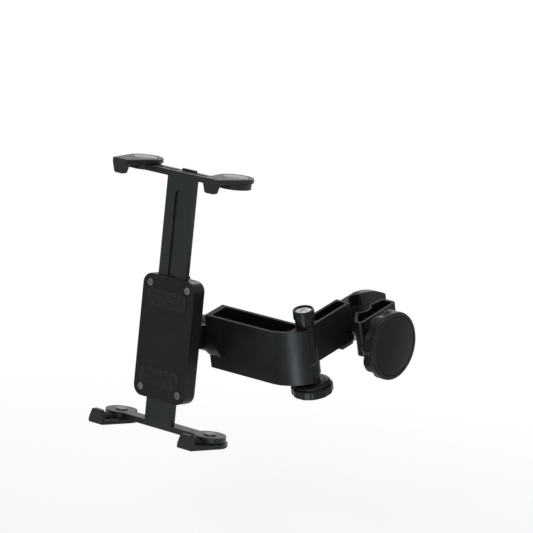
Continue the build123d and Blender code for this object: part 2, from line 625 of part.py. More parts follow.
channel_length = -BRACKET_BEND - cheek_right
web_top = lower_knuckle_bottom + BRACKET_WALL
with BuildPart() as swing_bracket:
    add(bracket_outline.part)
    with BuildSketch(across_tilt(cheek_left)):
        Circle(TILT_CHEEK_RADIUS)
    extrude(amount=TILT_CHEEK_THICKNESS + TILT_CHEEK_OVERLAP)
    with BuildSketch(along_bolt(web_top)) as channel:
        with BuildLine():
            inner_front = bracket_front + BRACKET_WALL
            inner_back = -BRACKET_BACK - BRACKET_WALL
            Polyline((-bracket_bore, inner_back), (cheek_right, inner_back), (cheek_right, inner_front),
                     (-BRACKET_BEND, inner_front))
            inner_edge = (bracket_bore * cos(window), -bracket_bore * sin(window))
            TangentArc((-BRACKET_BEND, inner_front), inner_edge, tangent=(1, 0))
            Polyline(inner_edge, (0, 0), (-bracket_bore, inner_back))
        make_face()
        with Locations((BRACKET_BEND / 2 - BRACKET_CHANNEL_END, 0)):
            Rectangle(BRACKET_BEND, 2 * BRACKET_DEPTH, mode=Mode.SUBTRACT)
        hub_corner = channel.vertices().sort_by(Axis.X)[-2:].sort_by(Axis.Y)[0]
        fillet(hub_corner, BRACKET_CHANNEL_ROUND)
    extrude(amount=BRACKET_HEIGHT, mode=Mode.SUBTRACT)
    with BuildSketch(along_bolt(bracket_bottom)):
        with Locations(((cheek_right - BRACKET_BEND) / 2, (inner_front + inner_back) / 2)):
            Rectangle(channel_length, inner_back - inner_front)
    extrude(amount=lower_knuckle_bottom - bracket_bottom, mode=Mode.SUBTRACT)
    with BuildSketch(along_bolt(web_top - BRACKET_WALL / 2)):
        with Locations(((cheek_right - BRACKET_BEND) / 2, (inner_front + inner_back) / 2)):
            with GridLocations(channel_length / (BRACKET_RIB_COUNT + 1), 1, BRACKET_RIB_COUNT, 1):
                Rectangle(BRACKET_WALL, inner_back - inner_front + BRACKET_WALL)
    extrude(amount=BRACKET_RIB_HEIGHT)
    with BuildSketch(along_bolt(bracket_bottom)):
        Circle(bracket_bore)
    extrude(amount=BRACKET_HEIGHT, mode=Mode.SUBTRACT)
    with BuildSketch(along_bolt(lower_knuckle_bottom)):
        Circle(LOWER_KNUCKLE_RADIUS)
    extrude(amount=LOWER_KNUCKLE_HEIGHT)
    with BuildSketch(along_bolt(lower_knuckle_bottom)):
        Circle(BOLT_RADIUS + RUNNING_FIT)
    extrude(amount=LOWER_KNUCKLE_HEIGHT, mode=Mode.SUBTRACT)
    with BuildSketch(across_tilt(cheek_left)):
        Circle(BOLT_RADIUS)
    extrude(amount=TILT_CHEEK_THICKNESS, mode=Mode.SUBTRACT)
save(swing_bracket, "swing_bracket")

# Tilt joint: bolt held by the bracket's cheek, friction washers, and a hand knob on the left
tilt_axis = Axis(TILT, (1, 0, 0))
tilt_bolt_tip = tilt_knob_face - TILT_KNOB_HEIGHT + FACE_GAP
with BuildPart() as tilt_bolt:
    with BuildSketch(across_tilt(tilt_bolt_tip)):
        Circle(BOLT_RADIUS)
    extrude(amount=cheek_right - tilt_bolt_tip)
    with BuildSketch(across_tilt(cheek_right)):
        RegularPolygon(HEX_RADIUS, 6)
    extrude(amount=HEX_HEIGHT)
save(tilt_bolt, "tilt_bolt")


def tilt_washer(name, start):
    """Flat friction washer on the tilt bolt, beside the tilt head's barrel."""
    with BuildPart() as washer:
        with BuildSketch(across_tilt(start)):
            Circle(TILT_WASHER_RADIUS)
            Circle(BOLT_RADIUS + RUNNING_FIT, mode=Mode.SUBTRACT)
        extrude(amount=WASHER_THICKNESS)
    save(washer, name)


tilt_washer("tilt_washer_right", barrel_right + FACE_GAP)
tilt_washer("tilt_washer_left", barrel_left - FACE_GAP - WASHER_THICKNESS)

# Tilt head: barrel on the tilt bolt, neck, and the round flange that the cradle spins on
flange_back = flange_face + SPIN_FLANGE_THICKNESS
neck_length = TILT_TO_FRONT - flange_back
with BuildPart() as tilt_head:
    with BuildSketch(across_tilt(barrel_left)):
        Circle(TILT_BARREL_RADIUS)
        with Locations((-neck_length / 2, 0)):
            Rectangle(neck_length, NECK_HEIGHT)
    extrude(amount=TILT_BARREL_LENGTH)
    with BuildSketch(cradle_face(flange_back)):
        with Locations((0, -SPIN_DROP)):
            Circle(SPIN_FLANGE_RADIUS)
    extrude(amount=SPIN_FLANGE_THICKNESS)
    with BuildSketch(across_tilt(barrel_left)):
        Circle(BOLT_RADIUS + RUNNING_FIT)
    extrude(amount=TILT_BARREL_LENGTH, mode=Mode.SUBTRACT)
    with BuildSketch(cradle_face(flange_face)):
        with Locations((0, -SPIN_DROP)):
            Circle(SPIN_SCREW_RADIUS)
    extrude(amount=-SPIN_SCREW_GRIP, mode=Mode.SUBTRACT)
save(tilt_head, "tilt_head")

with BuildPart() as tilt_knob:
    with BuildSketch(beside_tilt(tilt_knob_face)):
        with BuildLine():
            Polyline((0, 0), (TILT_NECK_RADIUS, 0), (TILT_NECK_RADIUS, CAP_EDGE),
                     (TILT_KNOB_RADIUS - CAP_EDGE, CAP_EDGE + HINGE_GROOVE),
                     (TILT_KNOB_RADIUS, 2 * CAP_EDGE + HINGE_GROOVE),
                     (TILT_KNOB_RADIUS, TILT_KNOB_HEIGHT + HINGE_GROOVE),
                     (TILT_KNOB_RADIUS - CAP_EDGE, TILT_KNOB_HEIGHT + HINGE_GROOVE + CAP_EDGE),
                     (0, TILT_KNOB_HEIGHT + HINGE_GROOVE + CAP_EDGE), (0, 0))
        make_face()
    revolve(axis=tilt_axis)
    with BuildSketch(across_tilt(tilt_knob_face)):
        with PolarLocations(TILT_KNOB_RADIUS + FLUTE_RADIUS - FLUTE_DEPTH, FLUTE_COUNT):
            Circle(FLUTE_RADIUS)
    extrude(amount=-TILT_KNOB_HEIGHT - CAP_EDGE - HINGE_GROOVE, mode=Mode.SUBTRACT)
    with BuildSketch(across_tilt(tilt_knob_face)):
        Circle(INSERT_RADIUS)
    extrude(amount=-TILT_KNOB_HEIGHT, mode=Mode.SUBTRACT)
save(tilt_knob, "tilt_knob")

with BuildPart() as tilt_knob_insert:
    with BuildSketch(across_tilt(tilt_knob_face)):
        Circle(INSERT_RADIUS)
        Circle(BOLT_RADIUS + RUNNING_FIT, mode=Mode.SUBTRACT)
    extrude(amount=-TILT_KNOB_HEIGHT)
save(tilt_knob_insert, "tilt_knob_insert")

# Spin joint: friction washer and the screw that holds the cradle on the tilt head's flange
with BuildPart() as spin_washer:
    with BuildSketch(cradle_face(housing_back + FACE_GAP)):
        with Locations((0, -SPIN_DROP)):
            Circle(SPIN_FLANGE_RADIUS)
            Circle(SPIN_SCREW_RADIUS + RUNNING_FIT, mode=Mode.SUBTRACT)
    extrude(amount=-SPIN_WASHER_THICKNESS)
save(spin_washer, "spin_washer")

with BuildPart() as spin_screw:
    with BuildSketch(cradle_face(spin_head_front + SPIN_HEAD_HEIGHT)):
        with Locations((0, -SPIN_DROP)):
            Circle(SPIN_HEAD_RADIUS)
    extrude(amount=SPIN_HEAD_HEIGHT)
    with BuildSketch(cradle_face(spin_head_front)):
        with Locations((0, -SPIN_DROP)):
            RegularPolygon(SPIN_SCREW_RADIUS, 6)
    extrude(amount=-SPIN_HEAD_HEIGHT / 2, mode=Mode.SUBTRACT)
    with BuildSketch(cradle_face(spin_head_front + SPIN_HEAD_HEIGHT)):
        with Locations((0, -SPIN_DROP)):
            Circle(SPIN_SCREW_RADIUS)
    extrude(amount=spin_head_front + SPIN_HEAD_HEIGHT - flange_face - SPIN_SCREW_GRIP)
save(spin_screw, "spin_screw")

# Cradle housing: shell open to the front, with rails for the sliding stem and bosses for the cover screws
slot_width = STEM_WIDTH + 2 * MOVING_GAP
slot_back = stem_back + MOVING_GAP
rail_outer = slot_width / 2 + RAIL_THICKNESS
rail_inner = slot_width / 2 - RAIL_LIP
screw_x = HOUSING_WIDTH / 2 - HOUSING_ROUND + HOUSING_WALL / 2
screw_z = HOUSING_HEIGHT / 2 - HOUSING_ROUND + HOUSING_WALL / 2
lock_z = housing_top - LOCK_DROP
lower_tongue_top = housing_bottom + LOWER_STEM_INSERTION
rail_bottom = lower_tongue_top + LOOSE_GAP
rail_height = housing_top - HOUSING_WALL - rail_bottom
with BuildPart() as cradle_back:
    with BuildSketch(cradle_face(housing_back)):
        with Locations((0, -SPIN_DROP)):
            RectangleRounded(HOUSING_WIDTH, HOUSING_HEIGHT, HOUSING_ROUND)
    extrude(amount=housing_back - housing_front)
    fillet(top_face(cradle_back, (0, 1, 0)).edges(), HOUSING_EDGE)
    with BuildSketch(cradle_face(housing_floor)):
        with Locations((0, -SPIN_DROP)):
            RectangleRounded(HOUSING_WIDTH - 2 * HOUSING_WALL, HOUSING_HEIGHT - 2 * HOUSING_WALL,
                             HOUSING_ROUND - HOUSING_WALL)
    extrude(amount=housing_floor - housing_front, mode=Mode.SUBTRACT)
    with BuildSketch(cradle_plan(rail_bottom)):
        with Locations(((rail_outer + rail_inner) / 2, (slot_back + housing_floor) / 2),
                       (-(rail_outer + rail_inner) / 2, (slot_back + housing_floor) / 2)):
            Rectangle(rail_outer - rail_inner, housing_floor - slot_back)
        with Locations((rail_outer - RAIL_THICKNESS / 2, (housing_front + housing_floor) / 2),
                       (-rail_outer + RAIL_THICKNESS / 2, (housing_front + housing_floor) / 2)):
            Rectangle(RAIL_THICKNESS, housing_floor - housing_front)
    extrude(amount=rail_height)
    with BuildSketch(cradle_face(housing_floor)):
        with Locations((0, -SPIN_DROP)):
            with GridLocations(2 * screw_x, 2 * screw_z, 2, 2):
                Circle(SCREW_BOSS_RADIUS)
    extrude(amount=housing_floor - housing_front)
    with BuildSketch(cradle_face(housing_front)):
        with Locations((0, -SPIN_DROP)):
            with GridLocations(2 * screw_x, 2 * screw_z, 2, 2):
                Circle(SCREW_RADIUS)
    extrude(amount=-SCREW_LENGTH, mode=Mode.SUBTRACT)
    with BuildSketch(cradle_plan(housing_top)):
        with Locations((0, (housing_front + slot_back) / 2)):
            Rectangle(slot_width, slot_back - housing_front)
    extrude(amount=-HOUSING_WALL, mode=Mode.SUBTRACT)
    with BuildSketch(cradle_plan(housing_bottom)):
        with Locations((0, (housing_front + stem_back) / 2)):
            Rectangle(STEM_WIDTH, stem_back - housing_front)
    extrude(amount=HOUSING_WALL, mode=Mode.SUBTRACT)
    with BuildSketch(cradle_face(housing_floor)):
        with Locations((0, -SPIN_DROP)):
            Circle(SPIN_SCREW_RADIUS + RUNNING_FIT)
        with Locations((0, lock_z)):
            Circle(LOCK_INSERT_RADIUS)
    extrude(amount=-HOUSING_BACK_WALL, mode=Mode.SUBTRACT)
save(cradle_back, "cradle_back")

with BuildPart() as cradle_cover:
    with BuildSketch(cradle_face(housing_front)):
        with Locations((0, -SPIN_DROP)):
            RectangleRounded(HOUSING_WIDTH, HOUSING_HEIGHT, HOUSING_ROUND)
    extrude(amount=COVER_PLATE)
    chamfer(top_face(cradle_cover, (0, -1, 0)).edges(), CLAW_EDGE)
    with BuildSketch(cradle_face(cover_front)):
        with Locations((0, -SPIN_DROP)):
            with GridLocations(2 * screw_x, 2 * screw_z, 2, 2):
                Circle(SCREW_HEAD_RADIUS)
    extrude(amount=-SCREW_HEAD_HEIGHT, mode=Mode.SUBTRACT)
    with BuildSketch(cradle_face(cover_front)):
        with Locations((0, -SPIN_DROP)):
            with GridLocations(2 * screw_x, 2 * screw_z, 2, 2):
                Circle(SCREW_RADIUS)
    extrude(amount=-COVER_PLATE, mode=Mode.SUBTRACT)
save(cradle_cover, "cradle_cover")

with BuildPart() as cover_screws:
    with BuildSketch(cradle_face(cover_front)):
        with Locations((0, -SPIN_DROP)):
            with GridLocations(2 * screw_x, 2 * screw_z, 2, 2):
                Circle(SCREW_HEAD_RADIUS)
    extrude(amount=-SCREW_HEAD_HEIGHT)
    with BuildSketch(cradle_face(cover_front)):
        with Locations((0, -SPIN_DROP)):
            with GridLocations(2 * screw_x, 2 * screw_z, 2, 2):
                Circle(SCREW_RADIUS)
    extrude(amount=-COVER_PLATE - SCREW_LENGTH)
save(cover_screws, "cover_screws")


def rest_pad(name, height):
    """Rubber strip on the front of the cover."""
    with BuildPart() as pad:
        with BuildSketch(cradle_face(cover_front)):
            with Locations((0, height - SPIN_DROP)):
                RectangleRounded(PAD_WIDTH, PAD_HEIGHT, PAD_HEIGHT / 3)
        extrude(amount=PAD_THICKNESS)
    save(pad, name)


rest_pad("rest_pad_upper", pad_height)
rest_pad("rest_pad_lower", -pad_height)


def cross_bar(up):
    """Flat bar with round ends under the claws; up is +1 at the top of the cradle, -1 at the bottom."""
    bar_middle = stem_front + BAR_DEPTH / 2
    with BuildPart() as bar:
        with BuildSketch(cradle_plan(up * (bar_level - BAR_THICKNESS))):
            with Locations((-PIVOT_SPACING / 2, PIVOT_DEPTH), (PIVOT_SPACING / 2, PIVOT_DEPTH)):
                Circle(BAR_END_RADIUS)
            with Locations((0, bar_middle)):
                Rectangle(PIVOT_SPACING, BAR_DEPTH)
        extrude(amount=up * BAR_THICKNESS)
        with BuildSketch(cradle_plan(up * bar_level)):
            with Locations((0, bar_middle)):
                with GridLocations(PIVOT_SPACING / 2 - BAR_END_RADIUS / 2, 1, 2, 1):
                    SlotOverall(BAR_GROOVE_LENGTH, BAR_GROOVE_WIDTH)
        extrude(amount=-up * BAR_GROOVE_DEPTH, mode=Mode.SUBTRACT)
        with BuildSketch(cradle_plan(up * bar_level)):
            with Locations((0, stem_front + BAR_DEPTH - THUMB_RIDGE_WIDTH)):
                SlotOverall(THUMB_RIDGE_LENGTH, THUMB_RIDGE_WIDTH)
        extrude(amount=up * THUMB_RIDGE_HEIGHT)
        with BuildSketch(cradle_plan(up * bar_level)):
            with Locations((-PIVOT_SPACING / 2, PIVOT_DEPTH), (PIVOT_SPACING / 2, PIVOT_DEPTH)):
                Circle(PIN_RADIUS)
        extrude(amount=-up * BAR_THICKNESS, mode=Mode.SUBTRACT)
        with BuildSketch(cradle_side(-GUSSET_THICKNESS / 2)):
            under_bar = up * (bar_level - BAR_THICKNESS)
            Polygon((stem_front, under_bar), (stem_front + BAR_DEPTH - THUMB_RIDGE_WIDTH, under_bar),
                    (stem_back, under_bar - up * GUSSET_HEIGHT),
                    (stem_front, under_bar - up * GUSSET_HEIGHT), align=None)
        extrude(amount=GUSSET_THICKNESS)
    return bar.part


# Upper slider: stem that slides in the housing, moulded with the upper cross bar
upper_bar = cross_bar(1)
stem_foot = housing_top - STEM_INSERTION
with BuildPart() as upper_slider:
    add(upper_bar)
    with BuildSketch(cradle_plan(stem_foot)):
        with Locations((0, (stem_front + stem_back) / 2)):
            Rectangle(STEM_WIDTH, STEM_THICKNESS)
    extrude(amount=bar_level - BAR_THICKNESS - stem_foot)
    with BuildSketch(cradle_face(stem_front)):
        with Locations((0, (stem_foot + bar_level) / 2)):
            SlotOverall(bar_level - stem_foot - STEM_WIDTH, STEM_GROOVE_WIDTH, rotation=90)
    extrude(amount=-STEM_GROOVE_DEPTH, mode=Mode.SUBTRACT)
save(upper_slider, "upper_slider")

# Lower bar: short stem that stays in the housing's bottom, moulded with the lower cross bar
lower_bar_part = cross_bar(-1)
with BuildPart() as lower_bar:
    add(lower_bar_part)
    with BuildSketch(cradle_plan(-(bar_level - BAR_THICKNESS))):
        with Locations((0, (stem_front + stem_back) / 2)):
            Rectangle(STEM_WIDTH, STEM_THICKNESS)
    extrude(amount=lower_tongue_top + bar_level - BAR_THICKNESS)
    with BuildSketch(cradle_plan(lower_tongue_top)):
        with Locations((0, (housing_front + stem_back) / 2)):
            Rectangle(STEM_WIDTH + 2 * LOWER_STEM_LIP, stem_back - housing_front)
    extrude(amount=HOUSING_WALL - LOWER_STEM_INSERTION)
save(lower_bar, "lower_bar")

# Lock screw on the housing's back that presses on the sliding stem
lock_tip = stem_back + MOVING_GAP
lock_neck = housing_back + LOOSE_GAP
with BuildPart() as slide_lock_insert:
    with BuildSketch(cradle_face(housing_back)):
        with Locations((0, lock_z)):
            Circle(LOCK_INSERT_RADIUS)
            Circle(LOCK_SHAFT_RADIUS + RUNNING_FIT, mode=Mode.SUBTRACT)
    extrude(amount=HOUSING_BACK_WALL)
save(slide_lock_insert, "slide_lock_insert")

with BuildPart() as slide_lock_knob:
    with BuildSketch(cradle_face(lock_tip)):
        with Locations((0, lock_z)):
            Circle(LOCK_SHAFT_RADIUS)
    extrude(amount=lock_tip - lock_neck)
    with BuildSketch(cradle_face(lock_neck)):
        with Locations((0, lock_z)):
            Circle(LOCK_KNOB_RADIUS)
            with PolarLocations(LOCK_KNOB_RADIUS + LOCK_LOBE_RADIUS / 2, LOCK_LOBE_COUNT):
                Circle(LOCK_LOBE_RADIUS, mode=Mode.SUBTRACT)
    extrude(amount=-LOCK_KNOB_HEIGHT)
    chamfer(top_face(slide_lock_knob, (0, 1, 0)).edges(), CLAW_EDGE)
save(slide_lock_knob, "slide_lock_knob")


def claw_plane(pivot_x, up):
    """Plane of one claw's underside, on its pivot: y to the back, z away from the cradle's middle."""
    origin = CRADLE + Vector(pivot_x, PIVOT_DEPTH, up * claw_level)
    return Plane(origin, (up, 0, 0), (0, 0, up))


def claw(name, base):
    """Paddle-shaped claw plate with a front hook, a disc recess and the pivot bore."""
    hook_front = Plane(base.from_local_coords((0, -CLAW_REACH, 0)), base.x_dir, -base.y_dir)
    with BuildPart() as plate:
        with BuildSketch(base):
            Circle(CLAW_ROUND)
            with Locations((0, CLAW_TIP_DEPTH / 2 - CLAW_REACH)):
                Rectangle(CLAW_TIP_WIDTH, CLAW_TIP_DEPTH)
            make_hull()
        extrude(amount=CLAW_THICKNESS)
        fillet(top_face(plate, base.z_dir).edges(), CLAW_EDGE)
        with BuildSketch(hook_front):
            with BuildLine():
                Polyline((-CLAW_TIP_WIDTH / 2, 0), (CLAW_TIP_WIDTH / 2, 0),
                         (HOOK_TIP_WIDTH / 2, -HOOK_DROP), (-HOOK_TIP_WIDTH / 2, -HOOK_DROP), close=True)
            hook_face = make_face()
            fillet(hook_face.vertices().sort_by(Axis((0, 0, 0), (0, 1, 0)))[:2], HOOK_TIP_ROUND)
        extrude(amount=-HOOK_THICKNESS)
        with BuildSketch(base.offset(CLAW_THICKNESS)):
            Circle(DISC_RADIUS + MOVING_GAP)
        extrude(amount=-DISC_THICKNESS, mode=Mode.SUBTRACT)
        with BuildSketch(base.offset(CLAW_THICKNESS - DISC_THICKNESS)):
            Circle(PIN_HEAD_RADIUS + MOVING_GAP)
        extrude(amount=-PIN_HEAD_THICKNESS - FACE_GAP, mode=Mode.SUBTRACT)
        with BuildSketch(base):
            Circle(PIN_RADIUS + RUNNING_FIT)
        extrude(amount=CLAW_THICKNESS, mode=Mode.SUBTRACT)
    save(plate, name)


def claw_pad(name, base):
    """Soft L-shaped lining under a claw's plate and inside its hook."""
    hook_inner = HOOK_THICKNESS - CLAW_REACH
    lip = hook_inner + HOOK_PAD_THICKNESS
    tip = HOOK_TIP_ROUND / 2 - HOOK_DROP
    side = Plane(base.from_local_coords((-CLAW_PAD_WIDTH / 2, 0, 0)), base.y_dir, base.x_dir)
    with BuildPart() as pad:
        with BuildSketch(side):
            Polygon((hook_inner, 0), (hook_inner, tip), (lip, tip), (lip, -CLAW_PAD_THICKNESS),
                    (pad_end, -CLAW_PAD_THICKNESS), (pad_end, 0), align=None)
        extrude(amount=CLAW_PAD_WIDTH)
    save(pad, name)


def claw_pin(name, base):
    """Pivot rivet, fast in the cross bar: head under the claw's disc, shank, and foot below the bar."""
    head_under = CLAW_THICKNESS - DISC_THICKNESS - PIN_HEAD_THICKNESS
    bar_under = -MOVING_GAP - BAR_THICKNESS
    with BuildPart() as pin:
        with BuildSketch(base.offset(head_under)):
            Circle(PIN_HEAD_RADIUS)
        extrude(amount=PIN_HEAD_THICKNESS - FACE_GAP)
        with BuildSketch(base.offset(bar_under)):
            Circle(PIN_RADIUS)
        extrude(amount=head_under - bar_under)
        with BuildSketch(base.offset(bar_under)):
            Circle(PIN_FOOT_RADIUS)
        extrude(amount=-PIN_HEAD_THICKNESS)
    save(pin, name)


def claw_disc(name, base):
    """Slightly domed disc that closes the recess over the pivot rivet."""
    disc_seat = base.from_local_coords((0, 0, CLAW_THICKNESS - DISC_THICKNESS))
    profile = Plane(disc_seat, base.x_dir, -base.y_dir)
    with BuildPart() as disc:
        with BuildSketch(profile):
            with BuildLine():
                Polyline((0, DISC_THICKNESS + DISC_DOME), (0, 0), (DISC_RADIUS, 0),
                         (DISC_RADIUS, DISC_THICKNESS))
                TangentArc((0, DISC_THICKNESS + DISC_DOME), (DISC_RADIUS, DISC_THICKNESS), tangent=(1, 0))
            make_face()
        revolve(axis=Axis(base.origin, base.z_dir))
    save(disc, name)


for level_name, up in (("upper", 1), ("lower", -1)):
    for side_name, side in (("left", -1), ("right", 1)):
        claw_base = claw_plane(side * PIVOT_SPACING / 2, up)
        corner = f"{level_name}_{side_name}"
        claw(f"claw_{corner}", claw_base)
        claw_pad(f"claw_pad_{corner}", claw_base)
        claw_pin(f"claw_pin_{corner}", claw_base)
        claw_disc(f"claw_disc_{corner}", claw_base)
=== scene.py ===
"""Clamp-on holder: finishes, moulded edges, threads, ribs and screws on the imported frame, in a plain white studio."""

import json
from math import acos, cos, pi, radians, sin

import bmesh
import bpy
from mathutils import Matrix, Vector


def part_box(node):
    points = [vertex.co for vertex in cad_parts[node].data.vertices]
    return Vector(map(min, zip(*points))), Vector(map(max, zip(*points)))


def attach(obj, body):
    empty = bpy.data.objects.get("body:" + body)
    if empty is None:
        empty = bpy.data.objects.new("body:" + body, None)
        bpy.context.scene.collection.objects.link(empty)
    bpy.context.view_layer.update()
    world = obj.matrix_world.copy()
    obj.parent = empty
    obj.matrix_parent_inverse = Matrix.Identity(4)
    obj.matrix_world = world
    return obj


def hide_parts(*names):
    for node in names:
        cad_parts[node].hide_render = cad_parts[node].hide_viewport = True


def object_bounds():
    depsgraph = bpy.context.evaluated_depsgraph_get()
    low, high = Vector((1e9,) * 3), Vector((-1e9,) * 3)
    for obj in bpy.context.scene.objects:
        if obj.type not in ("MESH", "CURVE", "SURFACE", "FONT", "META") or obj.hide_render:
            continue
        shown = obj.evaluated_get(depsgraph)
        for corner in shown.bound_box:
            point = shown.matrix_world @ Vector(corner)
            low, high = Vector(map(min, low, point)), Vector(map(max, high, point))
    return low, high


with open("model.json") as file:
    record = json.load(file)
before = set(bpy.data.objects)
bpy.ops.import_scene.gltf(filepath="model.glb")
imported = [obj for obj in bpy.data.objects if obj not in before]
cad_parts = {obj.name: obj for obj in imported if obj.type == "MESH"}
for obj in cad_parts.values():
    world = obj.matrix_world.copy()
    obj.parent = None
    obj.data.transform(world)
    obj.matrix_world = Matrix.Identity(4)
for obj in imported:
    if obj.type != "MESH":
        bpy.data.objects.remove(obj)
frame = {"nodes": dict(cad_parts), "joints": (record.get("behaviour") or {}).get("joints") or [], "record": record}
cad_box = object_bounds()
NODES = frame["nodes"]
SLOT_OF = {part["node"]: part["material_slot"] for part in frame["record"]["subparts"]}
BODY_OF = {node: body for body, members in frame["record"]["behaviour"]["bodies"].items() for node in members}
JOINT = {joint["name"]: joint for joint in frame["joints"]}

MM = 0.001

# Rounding of the moulded and turned edges, and the edge angles over which their polish and their painted highlight grow
PLASTIC_EDGE = 0.45 * MM
SMALL_EDGE = 0.15 * MM
EDGE_SEGMENTS = 2
SHARP_ANGLE = radians(32)
BEVEL_ANGLE = radians(38)
WELD_DISTANCE = 0.002 * MM
FLAT_ANGLE = radians(0.6)
POLISH_AND_HIGHLIGHT_FROM = radians(12)
POLISH_AND_HIGHLIGHT_TO = radians(32)
SMALL_NODES = ("insert", "washer", "claw_pin", "claw_disc", "bolt")
GRIP_NODES = ("claw_upper_left", "claw_upper_right", "claw_lower_left", "claw_lower_right", "upper_slider", "lower_bar")

# Clamp stud and its thread
STUD_RADIUS = 3.0 * MM
STUD_HEX_RADIUS = 5.8 * MM
STUD_HEX_HEIGHT = 4.0 * MM
THREAD_PITCH = 1.25 * MM
THREAD_DEPTH = 0.55 * MM
THREAD_START = 8.0 * MM
THREAD_STEPS = 8
STUD_SEGMENTS = 36

# Clamp knob with soft finger scallops
KNOB_RADIUS = 25.5 * MM
KNOB_NECK_RADIUS = 9.0 * MM
KNOB_NECK_LENGTH = 6.4 * MM
KNOB_NECK_ROUND = 1.4 * MM
KNOB_BACK_ROUND = 2.6 * MM
KNOB_BACK_STEP = 1.0 * MM
KNOB_BACK_STEPS = 9
KNOB_SIDE_STEPS = 24
KNOB_FRONT_ROUND = 1.4 * MM
KNOB_RECESS_RADIUS = 22.55 * MM
KNOB_RECESS_DEPTH = 2.0 * MM
KNOB_INSERT_RADIUS = 5.0 * MM
KNOB_INSERT_LENGTH = 11.0 * MM
KNOB_BORE_RADIUS = 3.35 * MM
KNOB_RIM = 3.0 * MM
KNOB_SEGMENTS = 240
SCALLOP_COUNT = 8
SCALLOP_DEPTH = 2.3 * MM
SCALLOP_HALF_WIDTH = 7.8 * MM
SCALLOP_FADE = 2.6 * MM
SCALLOP_INNER_RADIUS = KNOB_RADIUS / 2
SCALLOP_RUN = KNOB_RADIUS / 3
ROUND_STEPS = 8

# Rubber linings
BORE_RADIUS = 6.0 * MM
GROOVE_RADIUS = 7.5 * MM
JAW_FACE = 3.5 * MM
RIB_SINK = 0.1 * MM
JAW_RIB_HEIGHT = 0.5 * MM
JAW_RIB_WIDTH = 1.0 * MM
JAW_RIB_COUNT = 9
JAW_RIB_ANGLE = radians(11)
REST_RIB_HEIGHT = 0.45 * MM
REST_RIB_WIDTH = 1.1 * MM
REST_RIB_COUNT = 6
REST_RIB_STEP = 1.7 * MM
REST_RIB_MARGIN = 3.2 * MM
REST_ROUND_SHARE = 1 / 3
CLAW_RIB_HEIGHT = 0.6 * MM
CLAW_RIB_WIDTH = 1.3 * MM
CLAW_RIB_COUNT = 4
CLAW_RIB_STEP = 2.1 * MM
CLAW_RIB_START = 3.4 * MM
CLAW_PAD_THICKNESS = 3.0 * MM
HOOK_LINING = 1.2 * MM
HOOK_RIB_HEIGHT = 0.5 * MM
HOOK_RIB_COUNT = 2
HOOK_RIB_STEP = 1.5 * MM
HOOK_RIB_START = 1.1 * MM
PAD_CORNER_STEPS = 8
ARC_STEPS = 24

# Screw heads with a cross recess; a cross is its half width, reach, depth and wall
SCREW_HEAD_RADIUS = 2.8 * MM
SCREW_HEAD_HEIGHT = 1.3 * MM
SCREW_SHANK_RADIUS = 1.5 * MM
SCREW_DOME = 0.35 * MM
SCREW_SINK = 0.05 * MM
SCREW_CROSS = (0.36 * MM, 1.7 * MM, 0.75 * MM, 0.12 * MM)
BOLT_RADIUS = 3.0 * MM
BOLT_HEAD_RADIUS = 6.4 * MM
BOLT_HEAD_HEIGHT = 1.6 * MM
BOLT_DOME = 0.8 * MM
BOLT_CROSS = (0.75 * MM, 4.0 * MM, 1.1 * MM, 0.2 * MM)
HEAD_RINGS = 30
HEAD_SEGMENTS = 96

# Domed cover discs: dome height and rounding of the edge
COVER_DOME = 1.5 * MM
COVER_EDGE = 0.3 * MM
DISC_DOME = 0.3 * MM
DISC_EDGE = 0.2 * MM
DISC_RINGS = 12
DISC_SEGMENTS = 128

# Hinge knob: neck, dome, groove and fluted base, as radii and as levels above the knob's bottom
HINGE_NECK_RADIUS = 6.9 * MM
HINGE_BORE_RADIUS = 5.0 * MM
HINGE_FILLET = 0.8 * MM
SOCKET_GAP = 0.1 * MM
DOME_RADIUS = 14.2 * MM
DOME_TOP = 9.4 * MM
DOME_FOOT = 7.4 * MM
DOME_STEPS = 16
GROOVE_FLOOR_RADIUS = 13.4 * MM
GROOVE_TOP = 6.9 * MM
BASE_RADIUS = 15.6 * MM
BASE_TOP = 6.4 * MM
BASE_EDGE = 1.2 * MM
BASE_STEPS = 8
FLUTE_COUNT = 12
FLUTE_DEPTH = 0.55 * MM
FLUTE_HALF_WIDTH = 3.3 * MM

# Surface detail: scales in cycles per metre, heights of the relief, and the tint of the plastic's sheen
TONE_SCALE = 38
SCRATCH_SCALE = 160
SCRATCH_STRETCH = (1, 14, 3)
GLOSS_SCALE = 120
PIT_SCALE = 1500
PIT_HEIGHT = 0.05 * MM
GRAIN_SCALE = 2600
GRAIN_HEIGHT = 0.04 * MM
WAVE_SCALE = 26
WAVE_HEIGHT = 0.3 * MM
BLOOM_SCALE = 240
SKIN_SCALE = 1500
SKIN_HEIGHT = 0.08 * MM
DUST_SCALE = 300
CLOUD_SCALE = 160
MARK_SCALE = 900
MARK_HEIGHT = 0.03 * MM
MARK_STRETCH = (1, 1, 6)
MOTTLE_SCALE = 3
COOL_SHEEN = (0.84, 0.96, 1.0, 1.0)

# Directions of the cradle, and of the clamp: along the arm and up the bore
RIGHT = Vector((1, 0, 0))
FORWARD = Vector((0, -1, 0))
UPRIGHT = Vector((0, 0, 1))
UP = Vector(JOINT["bracket_swing"]["axis"]).normalized()
ALONG = UP.cross(RIGHT)


def axes(first, second, third, origin):
    """Placing matrix from three directions and an origin."""
    matrix = Matrix((first, second, third)).transposed().to_4x4()
    matrix.translation = origin
    return matrix


HINGE_CENTRE = Vector(JOINT["bracket_swing"]["pos_m"])
STUD_CENTRE = Vector((0, *JOINT["clamp_knob_turn"]["pos_m"][1:]))
BORE_PLACE = axes(RIGHT, ALONG, UP, Vector())
HINGE_PLACE = axes(RIGHT, ALONG, UP, HINGE_CENTRE - UP * HINGE_CENTRE.dot(UP))
STUD_PLACE = axes(ALONG, UP, RIGHT, STUD_CENTRE)

